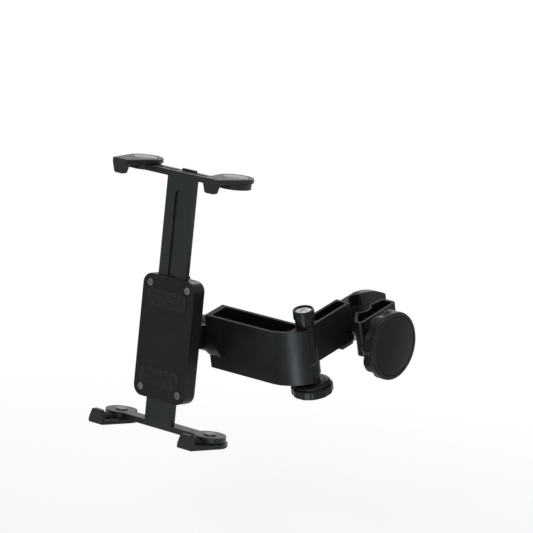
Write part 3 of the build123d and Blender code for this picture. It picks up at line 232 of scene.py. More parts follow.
# Studio: colours, the middle of the object, the bend that the low lamp faces, and the camera
WHITE = (1, 1, 1, 1)
WORLD_TINT = (0.96, 0.98, 1, 1)
FLOOR_DARK = (0.93, 0.93, 0.93)
FLOOR_LIGHT = (0.95, 0.95, 0.95)
FLOOR_ROUGHNESS = 0.9
MIDDLE = (cad_box[0] + cad_box[1]) / 2
BEND = (0, -0.072, -0.024)
SENSOR_WIDTH = 36
LENS = 221.0
CLIP_END = 50
CAMERA_PLACE = Matrix((
    (0.7595, -0.1866, 0.6232, 1.4507),
    (0.6428, 0.0678, -0.7630, -1.8931),
    (0.1001, 0.9801, 0.1715, 0.4517),
    (0, 0, 0, 1),
))


# Shader nodes
def new_material(name):
    """Empty node material with its output and one principled shader."""
    material = bpy.data.materials.new(name)
    material.use_nodes = True
    tree = material.node_tree
    tree.nodes.clear()
    output = tree.nodes.new("ShaderNodeOutputMaterial")
    shader = tree.nodes.new("ShaderNodeBsdfPrincipled")
    tree.links.new(shader.outputs["BSDF"], output.inputs["Surface"])
    return material, tree, shader


def own_place(tree, stretch=(1, 1, 1)):
    """The piece's own coordinates in metres, with an optional stretch."""
    place = tree.nodes.new("ShaderNodeTexCoord")
    mapping = tree.nodes.new("ShaderNodeMapping")
    mapping.inputs["Scale"].default_value = stretch
    tree.links.new(place.outputs["Object"], mapping.inputs["Vector"])
    return mapping.outputs["Vector"]


def noise(tree, scale, detail, stretch=(1, 1, 1)):
    """Noise on the piece's own coordinates, in cycles per metre."""
    texture = tree.nodes.new("ShaderNodeTexNoise")
    texture.inputs["Scale"].default_value = scale
    texture.inputs["Detail"].default_value = detail
    tree.links.new(own_place(tree, stretch), texture.inputs["Vector"])
    return texture.outputs["Fac"]


def cells(tree, scale):
    """Distance to the nearest of many scattered points, for a pebbled skin."""
    texture = tree.nodes.new("ShaderNodeTexVoronoi")
    texture.inputs["Scale"].default_value = scale
    tree.links.new(own_place(tree), texture.inputs["Vector"])
    return texture.outputs["Distance"]


def spread(tree, value, low, high, floor=0.3, ceiling=0.7):
    """Map a value between floor and ceiling to a range of numbers."""
    node = tree.nodes.new("ShaderNodeMapRange")
    node.inputs["From Min"].default_value = floor
    node.inputs["From Max"].default_value = ceiling
    node.inputs["To Min"].default_value = low
    node.inputs["To Max"].default_value = high
    tree.links.new(value, node.inputs["Value"])
    return node.outputs["Result"]


def tint(tree, value, dark, light):
    """Colour between two tones, by a value from 0 to 1."""
    node = tree.nodes.new("ShaderNodeMix")
    node.data_type = "RGBA"
    node.inputs["A"].default_value = (*dark, 1)
    node.inputs["B"].default_value = (*light, 1)
    tree.links.new(value, node.inputs["Factor"])
    return node.outputs["Result"]


def bump(tree, value, strength, distance, below=None):
    """Surface relief from a value, laid over an earlier relief."""
    node = tree.nodes.new("ShaderNodeBump")
    node.inputs["Strength"].default_value = strength
    node.inputs["Distance"].default_value = distance
    tree.links.new(value, node.inputs["Height"])
    if below is not None:
        tree.links.new(below, node.inputs["Normal"])
    return node.outputs["Normal"]


def combine(tree, operation, first, second):
    """One value made of two, held between 0 and 1."""
    node = tree.nodes.new("ShaderNodeMath")
    node.operation = operation
    node.use_clamp = True
    tree.links.new(first, node.inputs[0])
    tree.links.new(second, node.inputs[1])
    return node.outputs["Value"]


def edge_polish_and_highlight(tree, most):
    """Value that rises on the rounded edges, where handling polishes them; in the colour it paints a highlight on them.
    """
    node = tree.nodes.new("ShaderNodeAttribute")
    node.attribute_name = "edge_polish_and_highlight"
    return spread(tree, node.outputs["Fac"], 0, most, floor=0, ceiling=1)


def moulded_plastic(name, dark, light, smooth, rough, grain, specular):
    """Moulded plastic: spark-eroded grain, hairline scratches, slow tone changes, polished edges and a painted
    highlight on the edges.
    """
    material, tree, shader = new_material(name)
    cloud = spread(tree, noise(tree, TONE_SCALE, detail=3), 0, 0.6)
    # Painted highlight: the edge value lightens the base colour of the rounded edges.
    tone = combine(tree, "ADD", cloud, edge_polish_and_highlight(tree, most=0.5))
    hairlines = noise(tree, SCRATCH_SCALE, detail=2, stretch=SCRATCH_STRETCH)
    scratches = spread(tree, hairlines, 0, 0.05, floor=0.6, ceiling=0.75)
    gloss = combine(tree, "SUBTRACT", spread(tree, noise(tree, GLOSS_SCALE, detail=4), smooth, rough), scratches)
    handled = combine(tree, "SUBTRACT", gloss, edge_polish_and_highlight(tree, most=0.08))
    pits = bump(tree, cells(tree, PIT_SCALE), grain, PIT_HEIGHT)
    fine = bump(tree, noise(tree, GRAIN_SCALE, detail=2), grain, GRAIN_HEIGHT, below=pits)
    waves = bump(tree, noise(tree, WAVE_SCALE, detail=1), strength=0.1, distance=WAVE_HEIGHT, below=fine)
    tree.links.new(tint(tree, tone, dark, light), shader.inputs["Base Color"])
    tree.links.new(handled, shader.inputs["Roughness"])
    tree.links.new(waves, shader.inputs["Normal"])
    shader.inputs["Specular IOR Level"].default_value = specular
    shader.inputs["Specular Tint"].default_value = COOL_SHEEN
    return material


def soft_rubber(name, dark, light, smooth, rough, specular):
    """Matte rubber with a dusty bloom and a fine skin."""
    material, tree, shader = new_material(name)
    bloom = spread(tree, noise(tree, BLOOM_SCALE, detail=5), 0, 1)
    skin_relief = bump(tree, noise(tree, SKIN_SCALE, detail=3), strength=0.35, distance=SKIN_HEIGHT)
    dust = spread(tree, noise(tree, DUST_SCALE, detail=3), smooth, rough)
    tree.links.new(tint(tree, bloom, dark, light), shader.inputs["Base Color"])
    tree.links.new(dust, shader.inputs["Roughness"])
    tree.links.new(skin_relief, shader.inputs["Normal"])
    shader.inputs["Specular IOR Level"].default_value = specular
    return material


def turned_metal(name, dark, light, smooth, rough, stretch=(1, 1, 1)):
    """Metal with fine turning marks and a cloudy plated tone."""
    material, tree, shader = new_material(name)
    cloud = spread(tree, noise(tree, CLOUD_SCALE, detail=4), 0, 1)
    marks = noise(tree, MARK_SCALE, detail=3, stretch=stretch)
    tree.links.new(tint(tree, cloud, dark, light), shader.inputs["Base Color"])
    tree.links.new(spread(tree, marks, smooth, rough), shader.inputs["Roughness"])
    tree.links.new(bump(tree, marks, strength=0.12, distance=MARK_HEIGHT), shader.inputs["Normal"])
    shader.inputs["Metallic"].default_value = 1.0
    return material


FINISH = {
    "satin_black": moulded_plastic(
        "satin_black_plastic", dark=(0.003, 0.0033, 0.0037), light=(0.0075, 0.008, 0.0087),
        smooth=0.32, rough=0.44, grain=0.22, specular=0.145),
    "gloss_black": moulded_plastic(
        "gloss_black_plastic", dark=(0.003, 0.0033, 0.0037), light=(0.007, 0.0075, 0.0082),
        smooth=0.3, rough=0.4, grain=0.1, specular=0.1),
    "soft_pad": soft_rubber(
        "soft_black_rubber", dark=(0.006, 0.006, 0.0064), light=(0.015, 0.015, 0.0156),
        smooth=0.72, rough=0.9, specular=0.25),
    "steel": turned_metal(
        "dull_steel", dark=(0.1, 0.102, 0.105), light=(0.2, 0.203, 0.207), smooth=0.3, rough=0.5,
        stretch=MARK_STRETCH),
    "brass": turned_metal(
        "turned_brass", dark=(0.5, 0.36, 0.13), light=(0.66, 0.5, 0.22), smooth=0.22, rough=0.4),
    "friction_washer": moulded_plastic(
        "grey_fibre_washer", dark=(0.09, 0.09, 0.09), light=(0.15, 0.15, 0.152),
        smooth=0.6, rough=0.8, grain=0.5, specular=0.3),
}
# Painted light: a lighter, shinier copy of the satin black for the claws, slider and bar, standing in for more light
# falling on them.
GRIP_SATIN_PAINTED_LIGHT = moulded_plastic(
    "grip_satin_painted_light", dark=(0.005, 0.0056, 0.0062), light=(0.011, 0.0118, 0.0128),
    smooth=0.34, rough=0.46, grain=0.2, specular=0.26)
POLISHED_BLACK = moulded_plastic(
    "polished_black_plastic", dark=(0.004, 0.0044, 0.005), light=(0.008, 0.0085, 0.0092),
    smooth=0.14, rough=0.22, grain=0.03, specular=0.8)
BRIGHT_STEEL = turned_metal(
    "bright_steel", dark=(0.38, 0.385, 0.39), light=(0.58, 0.585, 0.59), smooth=0.2, rough=0.36,
    stretch=MARK_STRETCH)


# Rounded edges on the frame's own pieces
def edge_finish_tree():
    """Geometry nodes: smooth shading up to an angle, and a value on the rounded edges for their polish and their
    painted highlight.
    """
    tree = bpy.data.node_groups.new("moulded_edge_finish", "GeometryNodeTree")
    tree.interface.new_socket("Geometry", in_out="INPUT", socket_type="NodeSocketGeometry")
    limit = tree.interface.new_socket("Sharp Angle", in_out="INPUT", socket_type="NodeSocketFloat")
    limit.default_value = SHARP_ANGLE
    tree.interface.new_socket("Geometry", in_out="OUTPUT", socket_type="NodeSocketGeometry")
    source = tree.nodes.new("NodeGroupInput")
    result = tree.nodes.new("NodeGroupOutput")
    angle = tree.nodes.new("GeometryNodeInputMeshEdgeAngle")
    smooth = tree.nodes.new("FunctionNodeCompare")
    smooth.operation = "LESS_EQUAL"
    tree.links.new(angle.outputs["Unsigned Angle"], smooth.inputs["A"])
    tree.links.new(source.outputs["Sharp Angle"], smooth.inputs["B"])
    faces = tree.nodes.new("GeometryNodeSetShadeSmooth")
    faces.domain = "FACE"
    edges = tree.nodes.new("GeometryNodeSetShadeSmooth")
    edges.domain = "EDGE"
    tree.links.new(source.outputs["Geometry"], faces.inputs["Geometry"])
    tree.links.new(faces.outputs["Geometry"], edges.inputs["Geometry"])
    tree.links.new(smooth.outputs["Result"], edges.inputs["Shade Smooth"])
    amount = tree.nodes.new("ShaderNodeMapRange")
    amount.inputs["From Min"].default_value = POLISH_AND_HIGHLIGHT_FROM
    amount.inputs["From Max"].default_value = POLISH_AND_HIGHLIGHT_TO
    tree.links.new(angle.outputs["Signed Angle"], amount.inputs["Value"])
    # This value also lightens the edges' colour as a painted highlight.
    store = tree.nodes.new("GeometryNodeStoreNamedAttribute")
    store.data_type = "FLOAT"
    store.domain = "POINT"
    store.inputs["Name"].default_value = "edge_polish_and_highlight"
    tree.links.new(edges.outputs["Geometry"], store.inputs["Geometry"])
    tree.links.new(amount.outputs["Result"], store.inputs["Value"])
    tree.links.new(store.outputs["Geometry"], result.inputs["Geometry"])
    return tree


EDGE_FINISH = edge_finish_tree()


def round_edges(piece, width):
    """Weld a piece's facets, round its edges and shade it smooth, all as live modifiers."""
    weld = piece.modifiers.new("weld", "WELD")
    weld.merge_threshold = WELD_DISTANCE
    flat = piece.modifiers.new("flat_faces", "DECIMATE")
    flat.decimate_type = "DISSOLVE"
    flat.angle_limit = FLAT_ANGLE
    rounding = piece.modifiers.new("rounded_edges", "BEVEL")
    rounding.width = width
    rounding.segments = EDGE_SEGMENTS
    rounding.limit_method = "ANGLE"
    rounding.angle_limit = BEVEL_ANGLE
    rounding.use_clamp_overlap = True
    finish = piece.modifiers.new("edge_finish", "NODES")
    finish.node_group = EDGE_FINISH
    even = piece.modifiers.new("even_shading", "WEIGHTED_NORMAL")
    even.keep_sharp = True


def dress(node):
    """Give a frame piece its finish and its rounded edges."""
    piece = NODES[node]
    piece.data.materials.clear()
    # The grip pieces take the lighter copy of the satin black, a painted light.
    piece.data.materials.append(GRIP_SATIN_PAINTED_LIGHT if node in GRIP_NODES else FINISH[SLOT_OF[node]])
    small = any(word in node for word in SMALL_NODES)
    round_edges(piece, SMALL_EDGE if small else PLASTIC_EDGE)


# Meshes
def skin(rings, loop=False):
    """Points and faces of a surface through rings of equal count; loop joins the last ring to the first."""
    count = len(rings[0])
    points = [point for ring in rings for point in ring]
    pairs = list(zip(range(len(rings) - 1), range(1, len(rings))))
    if loop:
        pairs.append((len(rings) - 1, 0))
    faces = []
    for low, high in pairs:
        for here in range(count):
            after = (here + 1) % count
            faces.append((low * count + here, low * count + after, high * count + after, high * count + here))
    return points, faces


def solid(name, points, faces, place):
    """Mesh from points and faces, moved to its place, with merged points and outward normals."""
    mesh = bpy.data.meshes.new(name)
    mesh.from_pydata(points, [], faces)
    mesh.transform(place)
    work = bmesh.new()
    work.from_mesh(mesh)
    bmesh.ops.remove_doubles(work, verts=work.verts, dist=WELD_DISTANCE)
    bmesh.ops.recalc_face_normals(work, faces=work.faces)
    work.to_mesh(mesh)
    work.free()
    return mesh


def prism(name, outline, low, high, place):
    """Mesh of a flat outline drawn up from one level to another."""
    rings = [[(x, y, level) for x, y in outline] for level in (low, high)]
    points, faces = skin(rings)
    count = len(outline)
    faces.append(tuple(range(count)))
    faces.append(tuple(range(2 * count - 1, count - 1, -1)))
    return solid(name, points, faces, place)


def circle(radius, level, segments):
    """Ring of points about the z axis."""
    turns = [2 * pi * step / segments for step in range(segments)]
    return [(radius * cos(turn), radius * sin(turn), level) for turn in turns]


def hollowed_ring(radius, level, depth, count, half_turn):
    """Ring about the z axis with soft hollows of a depth, each reaching half_turn to either side of its middle."""
    pitch = 2 * pi / count
    ring = []
    for step in range(KNOB_SEGMENTS):
        turn = 2 * pi * step / KNOB_SEGMENTS
        across = abs((turn + pitch / 2) % pitch - pitch / 2) / half_turn
        here = radius - depth * (1 + cos(pi * min(1, across))) / 2
        ring.append((here * cos(turn), here * sin(turn), level))
    return ring


def quarter(centre_radius, centre_level, size, first, last):
    """Quarter-round piece of a profile, as radius and level, from one angle to another."""
    angles = [first + (last - first) * step / ROUND_STEPS for step in range(ROUND_STEPS + 1)]
    return [(centre_radius + size * cos(angle), centre_level + size * sin(angle)) for angle in angles]


def rounded_outline(width, height, radius):
    """Rectangle about the origin with rounded corners."""
    outline = []
    for x, y, first in ((1, 1, 0), (-1, 1, pi / 2), (-1, -1, pi), (1, -1, 3 * pi / 2)):
        for step in range(PAD_CORNER_STEPS + 1):
            turn = first + pi / 2 * step / PAD_CORNER_STEPS
            outline.append((x * (width / 2 - radius) + radius * cos(turn),
                            y * (height / 2 - radius) + radius * sin(turn)))
    return outline


def rib(name, length, width, height, place):
    """Half-round rib along x, its crest towards z, with rounded ends and a sunken foot."""
    angles = [pi / 2 * step / ROUND_STEPS for step in range(ROUND_STEPS + 1)]
    stations = [(width / 2 * (1 - cos(angle)) - length / 2, sin(angle)) for angle in angles]
    stations += [(-x, scale) for x, scale in reversed(stations)]
    rings = []
    for x, scale in stations:
        arch = [(x, scale * width / 2 * cos(pi * step / ROUND_STEPS), scale * height * sin(pi * step / ROUND_STEPS))
                for step in range(ROUND_STEPS + 1)]
        foot = [(x, -scale * width / 2, -scale * RIB_SINK), (x, scale * width / 2, -scale * RIB_SINK)]
        rings.append(arch + foot)
    points, faces = skin(rings)
    return solid(name, points, faces, place)


def repeat_tree():
    """Geometry nodes: one part set along a row, each a step further and a turn further, joined to a base."""
    tree = bpy.data.node_groups.new("repeated_part", "GeometryNodeTree")
    tree.interface.new_socket("Geometry", in_out="INPUT", socket_type="NodeSocketGeometry")
    for name, kind in (("Part", "NodeSocketObject"), ("Count", "NodeSocketInt"), ("Start", "NodeSocketVector"),
                       ("Step", "NodeSocketVector"), ("First Turn", "NodeSocketVector"),
                       ("Turn", "NodeSocketVector"), ("Material", "NodeSocketMaterial")):
        tree.interface.new_socket(name, in_out="INPUT", socket_type=kind)
    tree.interface.new_socket("Geometry", in_out="OUTPUT", socket_type="NodeSocketGeometry")
    source = tree.nodes.new("NodeGroupInput")
    result = tree.nodes.new("NodeGroupOutput")
    row = tree.nodes.new("GeometryNodeMeshLine")
    tree.links.new(source.outputs["Count"], row.inputs["Count"])
    tree.links.new(source.outputs["Start"], row.inputs["Start Location"])
    tree.links.new(source.outputs["Step"], row.inputs["Offset"])
    part = tree.nodes.new("GeometryNodeObjectInfo")
    tree.links.new(source.outputs["Part"], part.inputs["Object"])
    index = tree.nodes.new("GeometryNodeInputIndex")
    turned = tree.nodes.new("ShaderNodeVectorMath")
    turned.operation = "SCALE"
    tree.links.new(source.outputs["Turn"], turned.inputs["Vector"])
    tree.links.new(index.outputs["Index"], turned.inputs["Scale"])
    facing = tree.nodes.new("ShaderNodeVectorMath")
    tree.links.new(turned.outputs["Vector"], facing.inputs[0])
    tree.links.new(source.outputs["First Turn"], facing.inputs[1])
    spot = tree.nodes.new("GeometryNodeInstanceOnPoints")
    tree.links.new(row.outputs["Mesh"], spot.inputs["Points"])
    tree.links.new(part.outputs["Geometry"], spot.inputs["Instance"])
    tree.links.new(facing.outputs["Vector"], spot.inputs["Rotation"])
    real = tree.nodes.new("GeometryNodeRealizeInstances")
    tree.links.new(spot.outputs["Instances"], real.inputs["Geometry"])
    join = tree.nodes.new("GeometryNodeJoinGeometry")
    tree.links.new(source.outputs["Geometry"], join.inputs["Geometry"])
    tree.links.new(real.outputs["Geometry"], join.inputs["Geometry"])
    coat = tree.nodes.new("GeometryNodeSetMaterial")
    tree.links.new(join.outputs["Geometry"], coat.inputs["Geometry"])
    tree.links.new(source.outputs["Material"], coat.inputs["Material"])
    tree.links.new(coat.outputs["Geometry"], result.inputs["Geometry"])
    return tree


REPEAT = repeat_tree()
REPEAT_INPUT = {item.name: item.identifier for item in REPEAT.interface.items_tree if item.in_out == "INPUT"}


def repeated(base, part, count, start, step, material, first_turn=(0, 0, 0), turn=(0, 0, 0)):
    """Plain mesh of a base joined with a row of equal parts."""
    holder = bpy.data.objects.new("row_base", base)
    sample = bpy.data.objects.new("row_part", part)
    bpy.context.scene.collection.objects.link(holder)
    bpy.context.scene.collection.objects.link(sample)
    row = holder.modifiers.new("row", "NODES")
    row.node_group = REPEAT
    for name, value in (("Part", sample), ("Count", count), ("Start", start), ("Step", step),
                        ("First Turn", first_turn), ("Turn", turn), ("Material", material)):
        row[REPEAT_INPUT[name]] = value
    bpy.context.view_layer.update()
    shown = holder.evaluated_get(bpy.context.evaluated_depsgraph_get())
    mesh = bpy.data.meshes.new_from_object(shown)
    bpy.data.objects.remove(holder)
    bpy.data.objects.remove(sample)
    return mesh


# New pieces
def new_piece(name, mesh, node):
    """Finished piece that stands for a frame node and rides on that node's body."""
    slot = SLOT_OF[node]
    if not mesh.materials:
        mesh.materials.append(FINISH[slot])
    mesh.shade_smooth()
    mesh.set_sharp_from_angle(angle=SHARP_ANGLE)
    piece = bpy.data.objects.new(name, mesh)
    bpy.context.scene.collection.objects.link(piece)
    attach(piece, BODY_OF[node])
    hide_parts(node)


def bore_levels(node):
    """Lowest and highest level of a frame piece along the clamp's bore."""
    levels = [vertex.co.dot(UP) for vertex in NODES[node].data.vertices]
    return min(levels), max(levels)


def threaded_stud():
    """Steel stud: hex head in the fixed jaw, plain shank and a rolled thread with a chamfered tip."""
    low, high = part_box("clamp_stud")
    tip = high.x
    thread_start = low.x + THREAD_START
    steps = round((tip - thread_start) / THREAD_PITCH * THREAD_STEPS)
    root = STUD_RADIUS - THREAD_DEPTH
    rings = [circle(0, low.x, STUD_SEGMENTS)]
    corner = pi / 3
    for level in (low.x, low.x + STUD_HEX_HEIGHT):
        ring = []
        for step in range(STUD_SEGMENTS):
            turn = 2 * pi * step / STUD_SEGMENTS
            radius = STUD_HEX_RADIUS * cos(corner / 2) / cos(turn % corner - corner / 2)
            ring.append((radius * cos(turn), radius * sin(turn), level))
        rings.append(ring)
    rings.append(circle(STUD_RADIUS, low.x + STUD_HEX_HEIGHT, STUD_SEGMENTS))
    for step in range(steps + 1):
        level = thread_start + (tip - thread_start) * step / steps
        chamfer = root - THREAD_DEPTH / 2 + tip - level
        run_in = min(1, step / THREAD_STEPS)
        ring = []
        for place in range(STUD_SEGMENTS):
            phase = (level / THREAD_PITCH - place / STUD_SEGMENTS) % 1
            crest = 2 * abs(phase - 0.5)
            radius = min(STUD_RADIUS - THREAD_DEPTH * run_in * (1 - crest), chamfer)
            turn = 2 * pi * place / STUD_SEGMENTS
            ring.append((radius * cos(turn), radius * sin(turn), level))
        rings.append(ring)
    rings.append(circle(0, tip, STUD_SEGMENTS))
    points, faces = skin(rings)
    new_piece("clamp_stud_threaded", solid("clamp_stud_threaded", points, faces, STUD_PLACE), "clamp_stud")


def scalloped_knob():
    """Clamp knob with soft finger scallops that die out before the plain front rim."""
    low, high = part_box("clamp_knob")
    start = low.x
    back = start + KNOB_NECK_LENGTH
    front = high.x
    profile = [(KNOB_INSERT_RADIUS, start), (KNOB_NECK_RADIUS, start)]
    profile += quarter(KNOB_NECK_RADIUS + KNOB_NECK_ROUND, back - KNOB_NECK_ROUND, KNOB_NECK_ROUND, pi, pi / 2)
    back_edge = KNOB_RADIUS - KNOB_BACK_ROUND
    profile += [(back_edge - step * KNOB_BACK_STEP, back) for step in range(KNOB_BACK_STEPS, 0, -1)]
    profile += quarter(back_edge, back + KNOB_BACK_ROUND, KNOB_BACK_ROUND, -pi / 2, 0)
    side_low = back + KNOB_BACK_ROUND
    side_high = front - KNOB_FRONT_ROUND
    side = side_high - side_low
    profile += [(KNOB_RADIUS, side_low + side * step / KNOB_SIDE_STEPS) for step in range(1, KNOB_SIDE_STEPS)]
    profile += quarter(KNOB_RADIUS - KNOB_FRONT_ROUND, side_high, KNOB_FRONT_ROUND, 0, pi / 2)
    profile += [(KNOB_RECESS_RADIUS, front), (KNOB_RECESS_RADIUS, front - KNOB_RECESS_DEPTH),
                (KNOB_BORE_RADIUS, front - KNOB_RECESS_DEPTH), (KNOB_BORE_RADIUS, start + KNOB_INSERT_LENGTH),
                (KNOB_INSERT_RADIUS, start + KNOB_INSERT_LENGTH)]
    rings = []
    for radius, level in profile:
        inward = min(1, max(0, (front - KNOB_RIM - level) / SCALLOP_FADE))
        outward = min(1, max(0, (radius - SCALLOP_INNER_RADIUS) / SCALLOP_RUN))
        depth = SCALLOP_DEPTH * inward * inward * (3 - 2 * inward) * outward
        rings.append(hollowed_ring(radius, level, depth, SCALLOP_COUNT, SCALLOP_HALF_WIDTH / KNOB_RADIUS))
    points, faces = skin(rings, loop=True)
    new_piece("clamp_knob_scalloped", solid("clamp_knob_scalloped", points, faces, STUD_PLACE), "clamp_knob")


def fluted_hinge_knob():
    """Knob under the hinge: plain neck, a dome that falls to a groove, and a fluted base."""
    bottom, top = bore_levels("hinge_knob")
    socket = bore_levels("hinge_knob_insert")[0] - SOCKET_GAP
    profile = [(0, socket), (HINGE_BORE_RADIUS, socket), (HINGE_BORE_RADIUS, top), (HINGE_NECK_RADIUS, top)]
    dome_start = HINGE_NECK_RADIUS + HINGE_FILLET
    profile += quarter(dome_start, bottom + DOME_TOP + HINGE_FILLET, HINGE_FILLET, pi, 3 * pi / 2)
    for step in range(1, DOME_STEPS + 1):
        turn = pi / 2 * step / DOME_STEPS
        profile.append((dome_start + (DOME_RADIUS - dome_start) * sin(turn),
                        bottom + DOME_FOOT + (DOME_TOP - DOME_FOOT) * cos(turn)))
    profile += [(GROOVE_FLOOR_RADIUS, bottom + GROOVE_TOP), (GROOVE_FLOOR_RADIUS, bottom + BASE_TOP)]
    side_high = bottom + BASE_TOP - BASE_EDGE
    side_low = bottom + BASE_EDGE
    side = side_low - side_high
    profile += quarter(BASE_RADIUS - BASE_EDGE, side_high, BASE_EDGE, pi / 2, 0)
    profile += [(BASE_RADIUS, side_high + side * step / BASE_STEPS) for step in range(1, BASE_STEPS)]
    profile += quarter(BASE_RADIUS - BASE_EDGE, side_low, BASE_EDGE, 0, -pi / 2)
    profile.append((0, bottom))
    rings = []
    for radius, level in profile:
        outward = max(0, (radius - BASE_RADIUS + BASE_EDGE) / BASE_EDGE) if level <= bottom + BASE_TOP else 0
        rings.append(hollowed_ring(radius, level, FLUTE_DEPTH * outward, FLUTE_COUNT, FLUTE_HALF_WIDTH / BASE_RADIUS))
    points, faces = skin(rings)
    new_piece("hinge_knob_fluted", solid("hinge_knob_fluted", points, faces, HINGE_PLACE), "hinge_knob")


def domed_disc(node, place, dome, edge, finish):
    """Smooth turned disc with a low dome, in place of a frame disc; place has the disc's axis as its z."""
    back = place.inverted()
    local = [back @ vertex.co for vertex in NODES[node].data.vertices]
    radius = max(point.xy.length for point in local)
    low = min(point.z for point in local)
    high = max(point.z for point in local)
    profile = [(0, low), (radius - edge, low), (radius, low + edge)]
    profile += quarter(radius - edge, high - dome - edge, edge, 0, pi / 2)
    for step in range(1, DISC_RINGS + 1):
        share = 1 - step / DISC_RINGS
        profile.append(((radius - edge) * share, high - dome * share * share))
    points, faces = skin([circle(reach, level, DISC_SEGMENTS) for reach, level in profile])
    mesh = solid(f"{node}_domed", points, faces, place)
    mesh.materials.append(finish)
    new_piece(f"{node}_domed", mesh, node)


def cross_recess(x, y, cross):
    """Depth of a cross recess at a point of a screw's head."""
    half_width, reach, depth, edge = cross
    deepest = 0
    for across, along in ((abs(x), abs(y)), (abs(y), abs(x))):
        inside = min(half_width - across, reach - along)
        wall = min(1, max(0, inside / edge + 0.5))
        deepest = max(deepest, wall * (1 - along / (2 * reach)))
    return depth * deepest


def crossed_head(radius, top, dome, cross):
    """Rings of a domed screw head with a cross recess, from its edge to its middle."""
    rings = []
    for step in range(HEAD_RINGS + 1):
        share = 1 - step / HEAD_RINGS
        ring = []
        for x, y, level in circle(radius * share, top, HEAD_SEGMENTS):
            ring.append((x, y, level - dome * share * share - cross_recess(x, y, cross)))
        rings.append(ring)
    return rings


def cover_screws():
    """Four flush screws with domed heads and a cross recess."""
    low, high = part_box("cover_screws")
    length = high.y - low.y
    rings = [circle(0, -length, HEAD_SEGMENTS), circle(SCREW_SHANK_RADIUS, -length, HEAD_SEGMENTS),
             circle(SCREW_SHANK_RADIUS, -SCREW_HEAD_HEIGHT, HEAD_SEGMENTS),
             circle(SCREW_HEAD_RADIUS, -SCREW_HEAD_HEIGHT, HEAD_SEGMENTS)]
    rings += crossed_head(SCREW_HEAD_RADIUS, -SCREW_SINK, SCREW_DOME, SCREW_CROSS)
    points, faces = skin(rings)
    screw = solid("cover_screw", points, faces, axes(RIGHT, UPRIGHT, FORWARD, Vector()))
    inset = SCREW_HEAD_RADIUS
    rise = UPRIGHT * (high.z - low.z - 2 * inset)
    mesh = bpy.data.meshes.new("no_base")
    for x in (low.x + inset, high.x - inset):
        mesh = repeated(mesh, screw, 2, Vector((x, low.y, low.z + inset)), rise, FINISH["steel"])
    new_piece("cover_screws_cross", mesh, "cover_screws")


def crossed_bolt():
    """Hinge bolt: plain shank and a domed round head with a cross recess."""
    low, high = bore_levels("hinge_bolt")
    under = high - BOLT_HEAD_HEIGHT
    rings = [circle(0, low, HEAD_SEGMENTS), circle(BOLT_RADIUS, low, HEAD_SEGMENTS),
             circle(BOLT_RADIUS, under, HEAD_SEGMENTS), circle(BOLT_HEAD_RADIUS, under, HEAD_SEGMENTS)]
    rings += crossed_head(BOLT_HEAD_RADIUS, high, BOLT_DOME, BOLT_CROSS)
    points, faces = skin(rings)
    mesh = solid("hinge_bolt_cross", points, faces, HINGE_PLACE)
    mesh.materials.append(BRIGHT_STEEL)
    new_piece("hinge_bolt_cross", mesh, "hinge_bolt")


def ribbed_jaw_pad(node, side):
    """Half-round rubber lining with ribs along the bore; side is -1 for the fixed jaw, +1 for the front jaw."""
    low, high = bore_levels(node)
    base_radius = BORE_RADIUS + JAW_RIB_HEIGHT
    arcs = []
    for radius in (GROOVE_RADIUS, base_radius):
        reach = acos(JAW_FACE / radius)
        turns = [reach * (2 * step / ARC_STEPS - 1) for step in range(ARC_STEPS + 1)]
        arcs.append([(side * radius * cos(turn), radius * sin(turn)) for turn in turns])
    outline = arcs[0] + arcs[1][::-1]
    base = prism(node, outline, low, high, Matrix())
    inward = axes(UPRIGHT, -FORWARD * side, -RIGHT * side, RIGHT * side * base_radius)
    ridge = rib("jaw_rib", high - low, JAW_RIB_WIDTH, JAW_RIB_HEIGHT, inward)
    middle = (0, 0, (low + high) / 2)
    first_turn = (0, 0, -JAW_RIB_ANGLE * (JAW_RIB_COUNT - 1) / 2)
    mesh = repeated(base, ridge, JAW_RIB_COUNT, middle, (0, 0, 0), FINISH["soft_pad"], first_turn,
                    (0, 0, JAW_RIB_ANGLE))
    mesh.transform(BORE_PLACE)
    new_piece(f"{node}_ribbed", mesh, node)


def ribbed_rest_pad(node):
    """Rubber strip on the cover with level ribs."""
    low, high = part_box(node)
    size = high - low
    centre = Vector(((low.x + high.x) / 2, high.y, (low.z + high.z) / 2))
    outline = rounded_outline(size.x, size.z, size.z * REST_ROUND_SHARE)
    foot = size.y - REST_RIB_HEIGHT
    base = prism(node, outline, 0, foot, axes(RIGHT, UPRIGHT, FORWARD, centre))
    crest = axes(RIGHT, UPRIGHT, FORWARD, Vector())
    ridge = rib("rest_rib", size.x - 2 * REST_RIB_MARGIN, REST_RIB_WIDTH, REST_RIB_HEIGHT, crest)
    start = centre + FORWARD * foot - UPRIGHT * REST_RIB_STEP * (REST_RIB_COUNT - 1) / 2
    mesh = repeated(base, ridge, REST_RIB_COUNT, start, UPRIGHT * REST_RIB_STEP, FINISH["soft_pad"])
    new_piece(f"{node}_ribbed", mesh, node)


